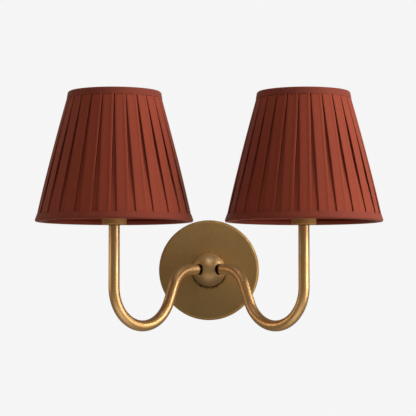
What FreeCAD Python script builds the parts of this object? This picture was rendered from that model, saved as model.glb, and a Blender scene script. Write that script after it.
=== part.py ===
import FreeCAD, Part
import math
import os
import Sketcher

# Double arm wall sconce: a round wall rose, a ball, two swan-neck arms of bent tube, two lamp
# holders and two box-pleated empire shades.
#
# Millimetres and degrees. +Z is up, +X is to the right of a person facing the wall, and the room is
# on the -Y side. The origin is the centre of the rose on the wall's surface (Y = 0).

SIZES = {
    # wall rose and the strap behind it
    "rose_diameter": 121,
    "rose_depth": 20,
    "rose_wall": 1.5,
    "rose_edge": 3,
    "strap_width": 28,
    "strap_thickness": 2,
    "strap_end_gap": 1.2,
    "lug_width": 12,
    "lug_depth": 15,
    "wall_slot_spacing": 76,
    "wall_slot_width": 5,
    "wall_slot_length": 12,
    "cable_hole": 16,
    "rose_screw": 4,
    "rose_screw_length": 7,
    "rose_screw_inset": 10,
    "earth_screw": 4,
    "earth_drop": 20,
    # terminal block
    "block_width": 26,
    "block_height": 14,
    "block_depth": 9,
    "block_rise": 13,
    "way_pitch": 8,
    "way_diameter": 4,
    "way_bore": 2.4,
    "way_screw": 2.4,
    "way_screw_pitch": 7,
    "block_screw": 2.5,
    # ball, its neck and the hollow pipe that holds it to the rose
    "ball_diameter": 40,
    "ball_seat": 16,
    "neck_diameter": 25,
    "neck_waist": 21,
    "neck_length": 6,
    "pipe_diameter": 10,
    "pipe_bore": 8,
    "pipe_grip": 8,
    "pipe_tail": 1.5,
    "nut_flats": 14,
    "nut_thickness": 3.5,
    "washer_diameter": 20,
    "washer_thickness": 1.5,
    "wire_way": 8.6,
    "socket_floor": 8,
    "socket_mouth": 15,
    "socket_mouth_floor": 17.3,
    # arms
    "tube_diameter": 12.7,
    "tube_bore": 9,
    "arm_reach": 152.5,
    "arm_spread": 45,
    "upper_bend": 29,
    "drop_angle": 67.5,
    "drop_run": 22.3,
    "lower_bend": 44.6,
    "arm_top": 49.2,
    "lead_diameter": 3.2,
    "lead_offset": 1.9,
    "lead_ball_bend": 12,
    "lead_rose_bend": 5.5,
    # lamp holders
    "cup_drop": 3.3,
    "cup_diameter": 28,
    "cup_height": 20,
    "cup_wall": 0.8,
    "cup_base": 1.5,
    "cup_corner": 1.2,
    "holder_pipe_bore": 7,
    "holder_pipe_grip": 9.5,
    "holder_pipe_tail": 1,
    "holder_nut_thickness": 3,
    "core_wall": 2.7,
    "core_cavity": 8,
    "core_floor": 4,
    "core_height": 35.8,
    "sleeve_bore": 24.8,
    "sleeve_diameter": 28,
    "sleeve_height": 25.7,
    "sleeve_spigot": 5,
    "thread_depth": 0.5,
    "thread_turns": 11,
    "thread_margin": 1.5,
    "flange_diameter": 34,
    "flange_thickness": 1.6,
    "shell_bore": 14.1,
    "shell_wall": 0.5,
    "shell_height": 21.8,
    "shell_eye": 9,
    "contact_height": 3,
    "contact_diameter": 4.4,
    "contact_foot": 7,
    "contact_foot_thickness": 0.8,
    "ring_diameter": 38,
    "ring_height": 6,
    "ring_notch": 1.6,
    "ring_notch_count": 30,
    # lamps
    "cap_diameter": 13.9,
    "cap_wall": 0.5,
    "cap_shell": 16,
    "cap_insulator": 3.3,
    "cap_tip": 0.7,
    "cap_tip_diameter": 6.4,
    "glass_diameter": 35,
    "glass_neck": 12.4,
    "glass_wall": 0.9,
    "lamp_length": 98,
    "filament_length": 32,
    "filament_diameter": 1.8,
    "filament_spread": 8,
    "filament_count": 4,
    "filament_rise": 37,
    "stem_diameter": 3,
    # shades
    "shade_bottom": 180,
    "shade_top": 105,
    "shade_height": 148.5,
    "tape_thickness": 0.8,
    "bottom_tape": 8,
    "top_tape": 8,
    "tape_turn_in": 4,
    "cover_thickness": 3,
    "pleat_depth": 2,
    "pleat_count": 26,
    "pleat_gap_top": 0.8,
    "pleat_gap_bottom": 8.7,
    "pleat_turn_left": -4.3,
    "pleat_turn_right": -1.7,
    "lining_thickness": 0.8,
    "layer_gap": 0.15,
    "frame_wire": 2.4,
    "fitter_diameter": 44,
    "fitter_thickness": 1.6,
    "spoke_count": 3,
    "spoke_rise": 11,
    # clearances
    "thread_gap": 0.05,
    "loose_gap": 0.3,
    "slip_gap": 0.1,
}

doc = FreeCAD.newDocument("double_arm_wall_sconce")
sheet = doc.addObject("Spreadsheet::Sheet", "Sizes")
for row, (alias, value) in enumerate(SIZES.items(), start=1):
    sheet.set(f"A{row}", alias)
    sheet.set(f"B{row}", str(value))
    sheet.setAlias(f"B{row}", alias)
doc.recompute()

V = FreeCAD.Vector
ORIGIN_POINT = (-1, 1)
SIDES = (("left", -1), ("right", 1))
pieces = []


# ---------------------------------------------------------------- sizes that carry their formula

class Size:
    """A length or angle: its value now, and the same thing as a formula of the sheet's cells."""

    def __init__(self, value, text):
        self.value = value
        self.text = text

    def __add__(self, other):
        other = as_size(other)
        return Size(self.value + other.value, f"({self.text} + {other.text})")

    def __sub__(self, other):
        other = as_size(other)
        return Size(self.value - other.value, f"({self.text} - {other.text})")

    def __mul__(self, other):
        other = as_size(other)
        return Size(self.value * other.value, f"({self.text} * {other.text})")

    def __truediv__(self, other):
        other = as_size(other)
        return Size(self.value / other.value, f"({self.text} / {other.text})")

    def __neg__(self):
        return Size(-self.value, f"(0 - {self.text})")


def as_size(number):
    return number if isinstance(number, Size) else Size(number, repr(number))


def cell(alias):
    return Size(float(sheet.get(alias)), f"Sizes.{alias}")


def sine(angle):
    return Size(math.sin(math.radians(angle.value)), f"sin({angle.text})")


def cosine(angle):
    return Size(math.cos(math.radians(angle.value)), f"cos({angle.text})")


def root(size):
    return Size(math.sqrt(size.value), f"sqrt({size.text})")


def bind(thing, prop, size):
    thing.setExpression(prop, as_size(size).text)


# ---------------------------------------------------------------- bodies, sketches and features

def new_body(name, alone=True):
    """A body, which is a piece by itself unless it goes into a group."""
    body = doc.addObject("PartDesign::Body", name)
    body.Label = name
    if alone:
        pieces.append(body)
    return body


def group(name, bodies):
    """Identical or inseparable small pieces kept together as one part."""
    compound = doc.addObject("Part::Compound", name)
    compound.Label = name
    compound.Links = bodies
    pieces.append(compound)
    return compound


def origin_feature(body, role):
    return next(f for f in body.Origin.OriginFeatures if f.Role == role)


def sketch_on(body, name, role, lift=0, turn=0):
    """A sketch on one of the body's own planes, lifted off it or turned within it."""
    sketch = body.newObject("Sketcher::SketchObject", name)
    sketch.AttachmentSupport = [(origin_feature(body, role), "")]
    sketch.MapMode = "FlatFace"
    bind(sketch, ".AttachmentOffset.Base.z", lift)
    sketch.AttachmentOffset.Rotation.Axis = V(0, 0, 1)
    bind(sketch, ".AttachmentOffset.Rotation.Angle", turn)
    return sketch


def hold(sketch, kind, size, *places):
    """A driving dimension of a sketch, bound to its formula."""
    index = sketch.addConstraint(Sketcher.Constraint(kind, *places, as_size(size).value))
    bind(sketch, f"Constraints[{index}]", size)


def hold_point(sketch, geometry, end, x, y):
    hold(sketch, "DistanceX", x, *ORIGIN_POINT, geometry, end)
    hold(sketch, "DistanceY", y, *ORIGIN_POINT, geometry, end)


def hold_angle(sketch, size, line):
    """The angle of a line's fall below the sketch's first axis, in degrees."""
    angle = math.radians(size.value)
    index = sketch.addConstraint(Sketcher.Constraint("Angle", line, 1, *ORIGIN_POINT, angle))
    bind(sketch, f"Constraints[{index}]", size)


def draw_outline(sketch, corners):
    """A closed outline of straight lines through the corners, each an (x, y) pair of sizes."""
    points = [V(as_size(x).value, as_size(y).value, 0) for x, y in corners]
    lines = []
    for start, end in zip(points, points[1:] + points[:1]):
        lines.append(sketch.addGeometry(Part.LineSegment(start, end), False))
    for line, after in zip(lines, lines[1:] + lines[:1]):
        sketch.addConstraint(Sketcher.Constraint("Coincident", line, 2, after, 1))
    for line, (x, y) in zip(lines, corners):
        hold_point(sketch, line, 1, x, y)


def draw_box(sketch, left, right, low, high):
    draw_outline(sketch, [(left, low), (right, low), (right, high), (left, high)])


def draw_circle(sketch, x, y, radius):
    centre = V(as_size(x).value, as_size(y).value, 0)
    circle = sketch.addGeometry(Part.Circle(centre, V(0, 0, 1), as_size(radius).value), False)
    hold(sketch, "Radius", radius, circle)
    hold_point(sketch, circle, 3, x, y)


def draw_hexagon(sketch, flats):
    """A hexagon about the sketch's origin, with two corners on its first axis."""
    corner = flats / 2 / cosine(as_size(30))
    corners = []
    for step in range(6):
        angle = as_size(60 * step)
        corners.append((corner * cosine(angle), corner * sine(angle)))
    draw_outline(sketch, corners)


def draw_upright_slot(sketch, middle, half_run, radius):
    """A round-ended slot on the sketch's second axis: two half circles and two tangent lines."""
    high = middle + half_run
    low = middle - half_run
    r = radius.value
    arcs = []
    for centre, start in ((high, 0), (low, math.pi)):
        circle = Part.Circle(V(0, centre.value, 0), V(0, 0, 1), r)
        arcs.append(sketch.addGeometry(Part.ArcOfCircle(circle, start, start + math.pi), False))
    sides = []
    for x, start, end in ((-r, high, low), (r, low, high)):
        side = Part.LineSegment(V(x, start.value, 0), V(x, end.value, 0))
        sides.append(sketch.addGeometry(side, False))
    loop = [arcs[0], sides[0], arcs[1], sides[1]]
    for piece, after in zip(loop, loop[1:] + loop[:1]):
        sketch.addConstraint(Sketcher.Constraint("Tangent", piece, 2, after, 1))
    hold(sketch, "Radius", radius, arcs[0])
    hold_point(sketch, arcs[0], 3, 0, high)
    hold_point(sketch, arcs[1], 3, 0, low)


def pad(body, name, sketch, length):
    feature = body.newObject("PartDesign::Pad", name)
    feature.Profile = sketch
    bind(feature, "Length", length)
    return feature


def pocket_through(body, name, sketch):
    feature = body.newObject("PartDesign::Pocket", name)
    feature.Profile = sketch
    feature.Type = "ThroughAll"
    feature.Midplane = True
    return feature


def pocket(body, name, sketch, depth):
    """A pocket into the solid behind the sketch's plane."""
    feature = body.newObject("PartDesign::Pocket", name)
    feature.Profile = sketch
    bind(feature, "Length", depth)
    return feature


def turn_profile(body, name, kind, sketch, axis):
    feature = body.newObject(f"PartDesign::{kind}", name)
    feature.Profile = sketch
    feature.ReferenceAxis = (sketch, [axis])
    feature.Angle = 360
    return feature


def turned(name, role, axis, corners, alone=True):
    """A piece turned from one outline, about the sketch's H_Axis or V_Axis."""
    body = new_body(name, alone)
    sketch = sketch_on(body, f"{name}_outline", role)
    draw_outline(sketch, corners)
    turn_profile(body, f"{name}_turned", "Revolution", sketch, axis)
    return body


def turned_upright(name, corners, alone=True):
    """Turned about Z, from (radius, height) corners."""
    return turned(name, "XZ_Plane", "V_Axis", corners, alone)


def turned_level(name, corners, alone=True):
    """Turned about Y, from (distance along Y, radius) corners."""
    return turned(name, "YZ_Plane", "H_Axis", corners, alone)


def groove(body, name, role, axis, corners, turn=0):
    sketch = sketch_on(body, f"{name}_outline", role, turn=turn)
    draw_outline(sketch, corners)
    return turn_profile(body, name, "Groove", sketch, axis)


def around(body, name, features, count):
    """The features repeated evenly about the body's upright axis."""
    pattern = body.newObject("PartDesign::PolarPattern", name)
    pattern.Originals = features
    pattern.Axis = (origin_feature(body, "Z_Axis"), [""])
    pattern.Angle = 360
    bind(pattern, "Occurrences", count)
    body.Tip = pattern
    return pattern


def round_edges(body, name, radius, wanted):
    """A fillet on every edge of the body that the test accepts."""
    doc.recompute()
    before = body.Tip
    names = [f"Edge{i}" for i, edge in enumerate(before.Shape.Edges, start=1) if wanted(edge)]
    feature = body.newObject("PartDesign::Fillet", name)
    feature.Base = (before, names)
    bind(feature, "Radius", radius)
    return feature


def is_circle_at(radius, along, where):
    """A test for full circles of one radius, in the plane at one place along an axis."""
    def test(edge):
        curve = edge.Curve
        round_edge = isinstance(curve, Part.Circle) and abs(curve.Radius - radius.value) < 0.01
        return round_edge and abs(getattr(curve.Center, along) - where.value) < 0.01
    return test


def place(piece, x=0, y=0, z=0, turn=None):
    bind(piece, "Placement.Base.x", x)
    bind(piece, "Placement.Base.y", y)
    bind(piece, "Placement.Base.z", z)
    if turn is not None:
        piece.Placement.Rotation.Axis = V(0, 0, 1)
        bind(piece, "Placement.Rotation.Angle", turn)
    return piece


# ---------------------------------------------------------------- sizes shared by several pieces

rose_radius = cell("rose_diameter") / 2
rose_front = -cell("rose_depth")
rose_inside = rose_front + cell("rose_wall")
neck_front = rose_front - cell("neck_length")
ball_y = neck_front - cell("ball_seat")
pipe_radius = cell("pipe_diameter") / 2
thread_hole = pipe_radius + cell("thread_gap")
tube_radius = cell("tube_diameter") / 2
lead_radius = cell("lead_diameter") / 2

spread = cell("arm_spread")
holder_x = cell("arm_reach") * sine(spread)
holder_y = ball_y - cell("arm_reach") * cosine(spread)
rim_z = cell("arm_top") + cell("cup_drop")

# Heights in a lamp holder, above the plane of its shade's bottom rim.
cup_bottom = -cell("cup_drop")
cup_floor = cup_bottom + cell("cup_base")
cup_top = cup_bottom + cell("cup_height")
flange_top = cup_top + cell("flange_thickness")
fitter_bottom = flange_top + cell("loose_gap")
fitter_top = fitter_bottom + cell("fitter_thickness")
ring_bottom = fitter_top + cell("loose_gap")
core_floor_bottom = cup_floor + cell("core_cavity")
core_floor_top = core_floor_bottom + cell("core_floor")
core_top = cup_floor + cell("core_height")
lamp_bottom = core_floor_top + cell("contact_height") + cell("loose_gap")
cap_shell_bottom = lamp_bottom + cell("cap_tip") + cell("cap_insulator")
cap_shell_top = cap_shell_bottom + cell("cap_shell")
lamp_top = lamp_bottom + cell("lamp_length")

core_radius = cell("sleeve_bore") / 2 - cell("slip_gap") * 2
sleeve_radius = cell("sleeve_diameter") / 2
cap_radius = cell("cap_diameter") / 2

# The shade's cone, and how far each layer lies inside the outside of its tapes.
shade_foot = cell("shade_bottom") / 2
shade_slope = (cell("shade_bottom") - cell("shade_top")) / cell("shade_height") / 2
cover_out = cell("tape_thickness") + cell("layer_gap")
cover_in = cover_out + cell("cover_thickness")
lining_out = cover_in + cell("layer_gap")
lining_in = lining_out + cell("lining_thickness")
wire_radius = cell("frame_wire") / 2
wire_inset = lining_in + wire_radius + cell("loose_gap")
turn_in_out = wire_inset + wire_radius + cell("loose_gap")
turn_in_in = turn_in_out + cell("tape_thickness")
layer_low = cell("tape_thickness") + cell("layer_gap")
layer_high = cell("shade_height") - layer_low
wire_low = layer_low + wire_radius
wire_high = cell("shade_height") - wire_low


def cone(height, inset=0):
    """The shade's radius at a height above its bottom rim, less an inset."""
    return shade_foot - shade_slope * height - inset


# ---------------------------------------------------------------- wall rose, bracket and wiring

block_middle = cell("block_rise") + cell("block_height") / 2
block_back = -cell("strap_thickness")
block_front = block_back - cell("block_depth")
way_y = block_back - cell("block_depth") / 2
nut_front = rose_inside + cell("washer_thickness")
pipe_back = nut_front + cell("nut_thickness") + cell("pipe_tail")


def make_bracket():
    half_width = cell("strap_width") / 2
    inside = rose_radius - cell("rose_wall")
    half_length = root(inside * inside - half_width * half_width) - cell("strap_end_gap")
    half_lug = cell("lug_width") / 2
    body = new_body("wall_bracket")
    strap = sketch_on(body, "strap_outline", "XZ_Plane")
    draw_box(strap, -half_width, half_width, -half_length, half_length)
    pad(body, "strap", strap, cell("strap_thickness"))
    lugs = sketch_on(body, "lug_outlines", "XZ_Plane")
    for way in (-1, 1):
        outer = half_length * way
        inner = (half_length - cell("strap_thickness")) * way
        draw_box(lugs, -half_lug, half_lug, outer, inner)
    pad(body, "lugs", lugs, cell("lug_depth"))
    holes = sketch_on(body, "strap_hole_outlines", "XZ_Plane")
    draw_circle(holes, 0, 0, cell("cable_hole") / 2)
    draw_circle(holes, 0, -cell("earth_drop"), cell("earth_screw") / 2 + cell("thread_gap"))
    for way in (-1, 1):
        screw_x = cell("way_pitch") / 2 * way
        draw_circle(holes, screw_x, block_middle, cell("block_screw") / 2 + cell("thread_gap"))
    pocket_through(body, "strap_holes", holes)
    slot_radius = cell("wall_slot_width") / 2
    half_run = cell("wall_slot_length") / 2 - slot_radius
    for way, end in ((-1, "low"), (1, "high")):
        slot = sketch_on(body, f"{end}_wall_slot_outline", "XZ_Plane")
        draw_upright_slot(slot, cell("wall_slot_spacing") / 2 * way, half_run, slot_radius)
        pocket_through(body, f"{end}_wall_slot", slot)
    screw_holes = sketch_on(body, "lug_hole_outline", "XY_Plane")
    hole_radius = cell("rose_screw") / 2 + cell("thread_gap")
    draw_circle(screw_holes, 0, -cell("rose_screw_inset"), hole_radius)
    pocket_through(body, "lug_holes", screw_holes)


def make_canopy():
    hole = pipe_radius + cell("slip_gap") * 2
    inside = rose_radius - cell("rose_wall")
    body = turned_level("canopy", [
        (0, rose_radius), (rose_front, rose_radius), (rose_front, hole),
        (rose_inside, hole), (rose_inside, inside), (0, inside),
    ])
    round_edges(body, "canopy_edge", cell("rose_edge"), is_circle_at(rose_radius, "y", rose_front))
    inner_edge = cell("rose_edge") - cell("rose_wall")
    round_edges(body, "canopy_inner_edge", inner_edge, is_circle_at(inside, "y", rose_inside))
    holes = sketch_on(body, "canopy_hole_outline", "XY_Plane")
    draw_circle(holes, 0, -cell("rose_screw_inset"), cell("rose_screw") / 2 + cell("slip_gap"))
    pocket_through(body, "canopy_holes", holes)


def make_canopy_screws():
    """Two grub screws through the top and bottom of the rose's rim, flush with it."""
    radius = cell("rose_screw") / 2
    key = radius / 2
    screws = []
    for end, way in (("low", -1), ("high", 1)):
        outer = rose_radius * way
        inner = (rose_radius - cell("rose_screw_length")) * way
        key_floor = (rose_radius - radius) * way
        screw = turned_upright(f"canopy_screw_{end}", [
            (0, inner), (radius, inner), (radius, outer), (key, outer), (key, key_floor), (0, key_floor),
        ], alone=False)
        screws.append(place(screw, y=-cell("rose_screw_inset")))
    group("canopy_screws", screws)


def make_earth_screw():
    radius = cell("earth_screw") / 2
    washer_front = block_back - radius / 2
    head_front = washer_front - radius
    screw = turned_level("earth_screw_bolt", [
        (block_back / 4, 0), (block_back / 4, radius), (washer_front, radius),
        (washer_front, radius * 1.9), (head_front, radius * 1.7), (head_front, 0),
    ], alone=False)
    washer = turned_level("earth_screw_washer", [
        (block_back, radius + cell("slip_gap")), (block_back, radius * 2.2),
        (washer_front, radius * 2.2), (washer_front, radius + cell("slip_gap")),
    ], alone=False)
    for part in (screw, washer):
        place(part, z=-cell("earth_drop"))
    group("earth_screw", [screw, washer])


def make_terminal_block():
    half_width = cell("block_width") / 2
    body = new_body("terminal_block")
    outline = sketch_on(body, "block_outline", "XZ_Plane", lift=cell("strap_thickness"))
    block_top = cell("block_rise") + cell("block_height")
    draw_box(outline, -half_width, half_width, cell("block_rise"), block_top)
    pad(body, "block", outline, cell("block_depth"))
    ways = sketch_on(body, "way_outlines", "XY_Plane")
    for step in (-1, 0, 1):
        way_radius = cell("way_diameter") / 2 + cell("thread_gap")
        draw_circle(ways, cell("way_pitch") * step, way_y, way_radius)
    pocket_through(body, "ways", ways)
    lift = cell("strap_thickness") + cell("block_depth")
    screws = sketch_on(body, "screw_well_outlines", "XZ_Plane", lift=lift)
    for step in (-1, 0, 1):
        for half in (-1, 1):
            screw_z = block_middle + cell("way_screw_pitch") / 2 * half
            draw_circle(screws, cell("way_pitch") * step, screw_z, cell("way_screw") / 2 + cell("slip_gap"))
    pocket(body, "screw_wells", screws, cell("block_depth") / 2)
    fixings = sketch_on(body, "block_fixing_outlines", "XZ_Plane")
    for way in (-1, 1):
        hole_radius = cell("block_screw") / 2 + cell("slip_gap")
        draw_circle(fixings, cell("way_pitch") / 2 * way, block_middle, hole_radius)
    pocket_through(body, "block_fixings", fixings)


def make_terminal_clamps():
    """The brass barrel in each way, with two tapped holes for its screws."""
    clamps = []
    for step, wire in ((-1, "live"), (0, "earth"), (1, "neutral")):
        body = new_body(f"clamp_{wire}", alone=False)
        low = cell("block_rise") + cell("slip_gap")
        outline = sketch_on(body, f"clamp_{wire}_outline", "XY_Plane", lift=low)
        draw_circle(outline, 0, 0, cell("way_diameter") / 2)
        draw_circle(outline, 0, 0, cell("way_bore") / 2)
        pad(body, f"clamp_{wire}_barrel", outline, cell("block_height") - cell("slip_gap") * 2)
        taps = sketch_on(body, f"clamp_{wire}_tap_outlines", "XZ_Plane", lift=cell("way_diameter") / 2)
        for half in (-1, 1):
            tap_z = block_middle + cell("way_screw_pitch") / 2 * half
            draw_circle(taps, 0, tap_z, cell("way_screw") / 2 + cell("thread_gap"))
        pocket(body, f"clamp_{wire}_taps", taps, cell("way_diameter") / 2)
        clamps.append(place(body, x=cell("way_pitch") * step, y=way_y))
    group("terminal_clamps", clamps)


def make_terminal_screws():
    """Two screws in each way, run down to the middle of its barrel."""
    radius = cell("way_screw") / 2
    screws = []
    for step in (-1, 0, 1):
        for half, end in ((-1, "low"), (1, "high")):
            screw = turned_level(f"way_screw_{step + 1}_{end}", [
                (way_y - cell("way_bore") / 2, 0), (way_y - cell("way_bore") / 2, radius),
                (block_front + cell("loose_gap"), radius), (block_front + cell("loose_gap"), 0),
            ], alone=False)
            screw_z = block_middle + cell("way_screw_pitch") / 2 * half
            screws.append(place(screw, x=cell("way_pitch") * step, z=screw_z))
    group("terminal_screws", screws)


def make_block_screws():
    radius = cell("block_screw") / 2
    screws = []
    for way in (-1, 1):
        screw = turned_level(f"block_screw_{way + 1}", [
            (block_back / 4, 0), (block_back / 4, radius), (block_front, radius),
            (block_front, radius * 1.4), (block_front - radius, radius * 1.4), (block_front - radius, 0),
        ], alone=False)
        screws.append(place(screw, x=cell("way_pitch") / 2 * way, z=block_middle))
    group("block_screws", screws)


# ---------------------------------------------------------------- ball, neck and hollow pipe

def arm_turn(way):
    """The angle about Z from +X to an arm's outward direction."""
    return spread * way - 90


def make_ball():
    """A turned ball, flat where it sits on its neck, with two arm sockets that meet in it."""
    radius = cell("ball_diameter") / 2
    seat = cell("ball_seat")
    way_radius = cell("wire_way") / 2
    body = new_body("hub_ball")
    outline = sketch_on(body, "ball_outline", "YZ_Plane")
    circle = Part.Circle(V(0, 0, 0), V(0, 0, 1), radius.value)
    seat_angle = math.acos(seat.value / radius.value)
    arc = outline.addGeometry(Part.ArcOfCircle(circle, seat_angle, math.pi), False)
    seat_radius = radius.value * math.sin(seat_angle)
    flat = Part.LineSegment(V(seat.value, 0, 0), V(seat.value, seat_radius, 0))
    flat = outline.addGeometry(flat, False)
    axis = outline.addGeometry(Part.LineSegment(V(-radius.value, 0, 0), V(seat.value, 0, 0)), False)
    outline.addConstraint(Sketcher.Constraint("Coincident", arc, 3, *ORIGIN_POINT))
    outline.addConstraint(Sketcher.Constraint("Coincident", arc, 1, flat, 2))
    outline.addConstraint(Sketcher.Constraint("Coincident", flat, 1, axis, 2))
    outline.addConstraint(Sketcher.Constraint("Coincident", axis, 1, arc, 2))
    outline.addConstraint(Sketcher.Constraint("PointOnObject", axis, 1, -1))
    outline.addConstraint(Sketcher.Constraint("Horizontal", axis))
    outline.addConstraint(Sketcher.Constraint("Vertical", flat))
    hold(outline, "Radius", radius, arc)
    hold(outline, "DistanceX", seat, *ORIGIN_POINT, flat, 1)
    turn_profile(body, "ball_turned", "Revolution", outline, "H_Axis")
    thread_floor = seat - cell("pipe_grip") - cell("loose_gap")
    groove(body, "ball_back_hole", "YZ_Plane", "H_Axis", [
        (0, 0), (0, way_radius), (thread_floor, way_radius),
        (thread_floor, thread_hole), (radius, thread_hole), (radius, 0),
    ])
    socket_radius = tube_radius + cell("thread_gap")
    for side, way in SIDES:
        groove(body, f"ball_socket_{side}", "XY_Plane", "H_Axis", [
            (0, 0), (0, way_radius), (cell("socket_floor"), way_radius),
            (cell("socket_floor"), socket_radius), (cell("socket_mouth_floor"), socket_radius),
            (cell("socket_mouth_floor"), cell("socket_mouth") / 2),
            (radius * 1.1, cell("socket_mouth") / 2), (radius * 1.1, 0),
        ], turn=arm_turn(way))
    place(body, y=ball_y)


def make_neck():
    bore = pipe_radius + cell("slip_gap") * 2
    foot = cell("neck_diameter") / 2
    waist_y = (rose_front + neck_front) / 2
    turned_level("hub_neck", [
        (rose_front, bore), (rose_front, foot), (waist_y, cell("neck_waist") / 2),
        (neck_front, cell("neck_waist") / 2), (neck_front, bore),
    ])


def make_hub_pipe():
    """The threaded hollow pipe from the ball, through neck and rose, to the nut behind."""
    front = neck_front - cell("pipe_grip")
    bore = cell("pipe_bore") / 2
    turned_level("hub_pipe", [
        (front, bore), (front, pipe_radius), (pipe_back, pipe_radius), (pipe_back, bore),
    ])


def make_hub_washer():
    bore = pipe_radius + cell("slip_gap") * 2
    radius = cell("washer_diameter") / 2
    turned_level("hub_washer", [
        (rose_inside, bore), (rose_inside, radius), (nut_front, radius), (nut_front, bore),
    ])


def hex_nut(name, role, lift, thickness):
    body = new_body(name)
    outline = sketch_on(body, f"{name}_outline", role, lift=lift)
    draw_hexagon(outline, cell("nut_flats"))
    draw_circle(outline, 0, 0, thread_hole)
    pad(body, f"{name}_plate", outline, thickness)
    return body


def make_hub_nut():
    lift = -(nut_front + cell("nut_thickness"))
    hex_nut("hub_nut", "XZ_Plane", lift, cell("nut_thickness"))


# ---------------------------------------------------------------- arms and their leads

def draw_arm_path(sketch):
    """Level out of the ball, a bend down, a short drop, the deep bend up, and the upright."""
    drop = cell("drop_angle")
    upper = cell("upper_bend").value
    lower = cell("lower_bend").value
    angle = math.radians(drop.value)
    across = V(math.cos(angle), -math.sin(angle), 0)
    inward = V(math.sin(angle), math.cos(angle), 0)
    level_run = cell("arm_reach").value - upper * inward.x - cell("drop_run").value * across.x
    level_run -= lower * (1 + inward.x)
    start = V(cell("socket_floor").value, 0, 0)
    bend_start = V(level_run, 0, 0)
    upper_centre = bend_start - V(0, upper, 0)
    drop_start = upper_centre + inward * upper
    drop_end = drop_start + across * cell("drop_run").value
    lower_centre = drop_end + inward * lower
    upright_start = lower_centre + V(lower, 0, 0)
    top = V(upright_start.x, cell("arm_top").value, 0)
    up = V(0, 0, 1)
    level = sketch.addGeometry(Part.LineSegment(start, bend_start), False)
    upper_arc = Part.ArcOfCircle(Part.Circle(upper_centre, up, upper), math.pi / 2 - angle, math.pi / 2)
    upper_arc = sketch.addGeometry(upper_arc, False)
    slope = sketch.addGeometry(Part.LineSegment(drop_start, drop_end), False)
    lower_circle = Part.Circle(lower_centre, up, lower)
    lower_arc = Part.ArcOfCircle(lower_circle, 1.5 * math.pi - angle, 2 * math.pi)
    lower_arc = sketch.addGeometry(lower_arc, False)
    upright = sketch.addGeometry(Part.LineSegment(upright_start, top), False)
    for first, first_end, second, second_end in (
        (level, 2, upper_arc, 2), (upper_arc, 1, slope, 1),
        (slope, 2, lower_arc, 1), (lower_arc, 2, upright, 1),
    ):
        sketch.addConstraint(Sketcher.Constraint("Tangent", first, first_end, second, second_end))
    sketch.addConstraint(Sketcher.Constraint("Horizontal", level))
    sketch.addConstraint(Sketcher.Constraint("Vertical", upright))
    hold_point(sketch, level, 1, cell("socket_floor") + cell("slip_gap"), 0)
    hold(sketch, "Radius", cell("upper_bend"), upper_arc)
    hold(sketch, "Distance", cell("drop_run"), slope)
    hold(sketch, "Radius", cell("lower_bend"), lower_arc)
    hold_angle(sketch, drop, slope)
    hold_point(sketch, upright, 2, cell("arm_reach"), cell("arm_top"))


def make_arm(side, way):
    body = new_body(f"arm_{side}")
    path = sketch_on(body, f"arm_{side}_path", "XZ_Plane")
    draw_arm_path(path)
    start = cell("socket_floor") + cell("slip_gap")
    spine = (path, [f"Edge{number}" for number in range(1, 6)])
    for kind, name, diameter in (
        ("AdditivePipe", "tube", "tube_diameter"), ("SubtractivePipe", "bore", "tube_bore"),
    ):
        section = sketch_on(body, f"arm_{side}_{name}_section", "YZ_Plane", lift=start)
        draw_circle(section, 0, 0, cell(diameter) / 2)
        doc.recompute()
        pipe = body.newObject(f"PartDesign::{kind}", f"arm_{side}_{name}")
        pipe.Profile = section
        pipe.Spine = spine
    thread = sketch_on(body, f"arm_{side}_thread_outline", "XY_Plane", lift=cell("arm_top"))
    draw_circle(thread, cell("arm_reach"), 0, thread_hole)
    thread_depth = cell("holder_pipe_grip") + cell("loose_gap")
    pocket(body, f"arm_{side}_thread", thread, thread_depth)
    place(body, y=ball_y, turn=arm_turn(way))


class Route:
    """A path of straight runs and tangent arcs, drawn from its start like a pen."""

    def __init__(self, start, heading):
        self.place = start
        self.heading = heading
        self.edges = []

    def run(self, length):
        end = self.place + self.heading * length
        self.edges.append(Part.LineSegment(self.place, end).toShape())
        self.place = end

    def bend(self, radius, angle, axis):
        """Turn by an angle in degrees about an axis, on an arc of the radius."""
        to_centre = axis.cross(self.heading) * math.copysign(radius, angle)
        centre = self.place + to_centre
        half_turn = FreeCAD.Rotation(axis, angle / 2)
        full_turn = FreeCAD.Rotation(axis, angle)
        middle = centre + half_turn.multVec(-to_centre)
        end = centre + full_turn.multVec(-to_centre)
        self.edges.append(Part.Arc(self.place, middle, end).toShape())
        self.place = end
        self.heading = full_turn.multVec(self.heading)

    def tube(self, radius):
        spine = Part.Wire(self.edges)
        first = self.edges[0]
        circle = Part.Circle(first.Vertexes[0].Point, first.tangentAt(first.FirstParameter), radius)
        return spine.makePipeShell([Part.Wire(circle.toShape())], True, False), spine.Length


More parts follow.
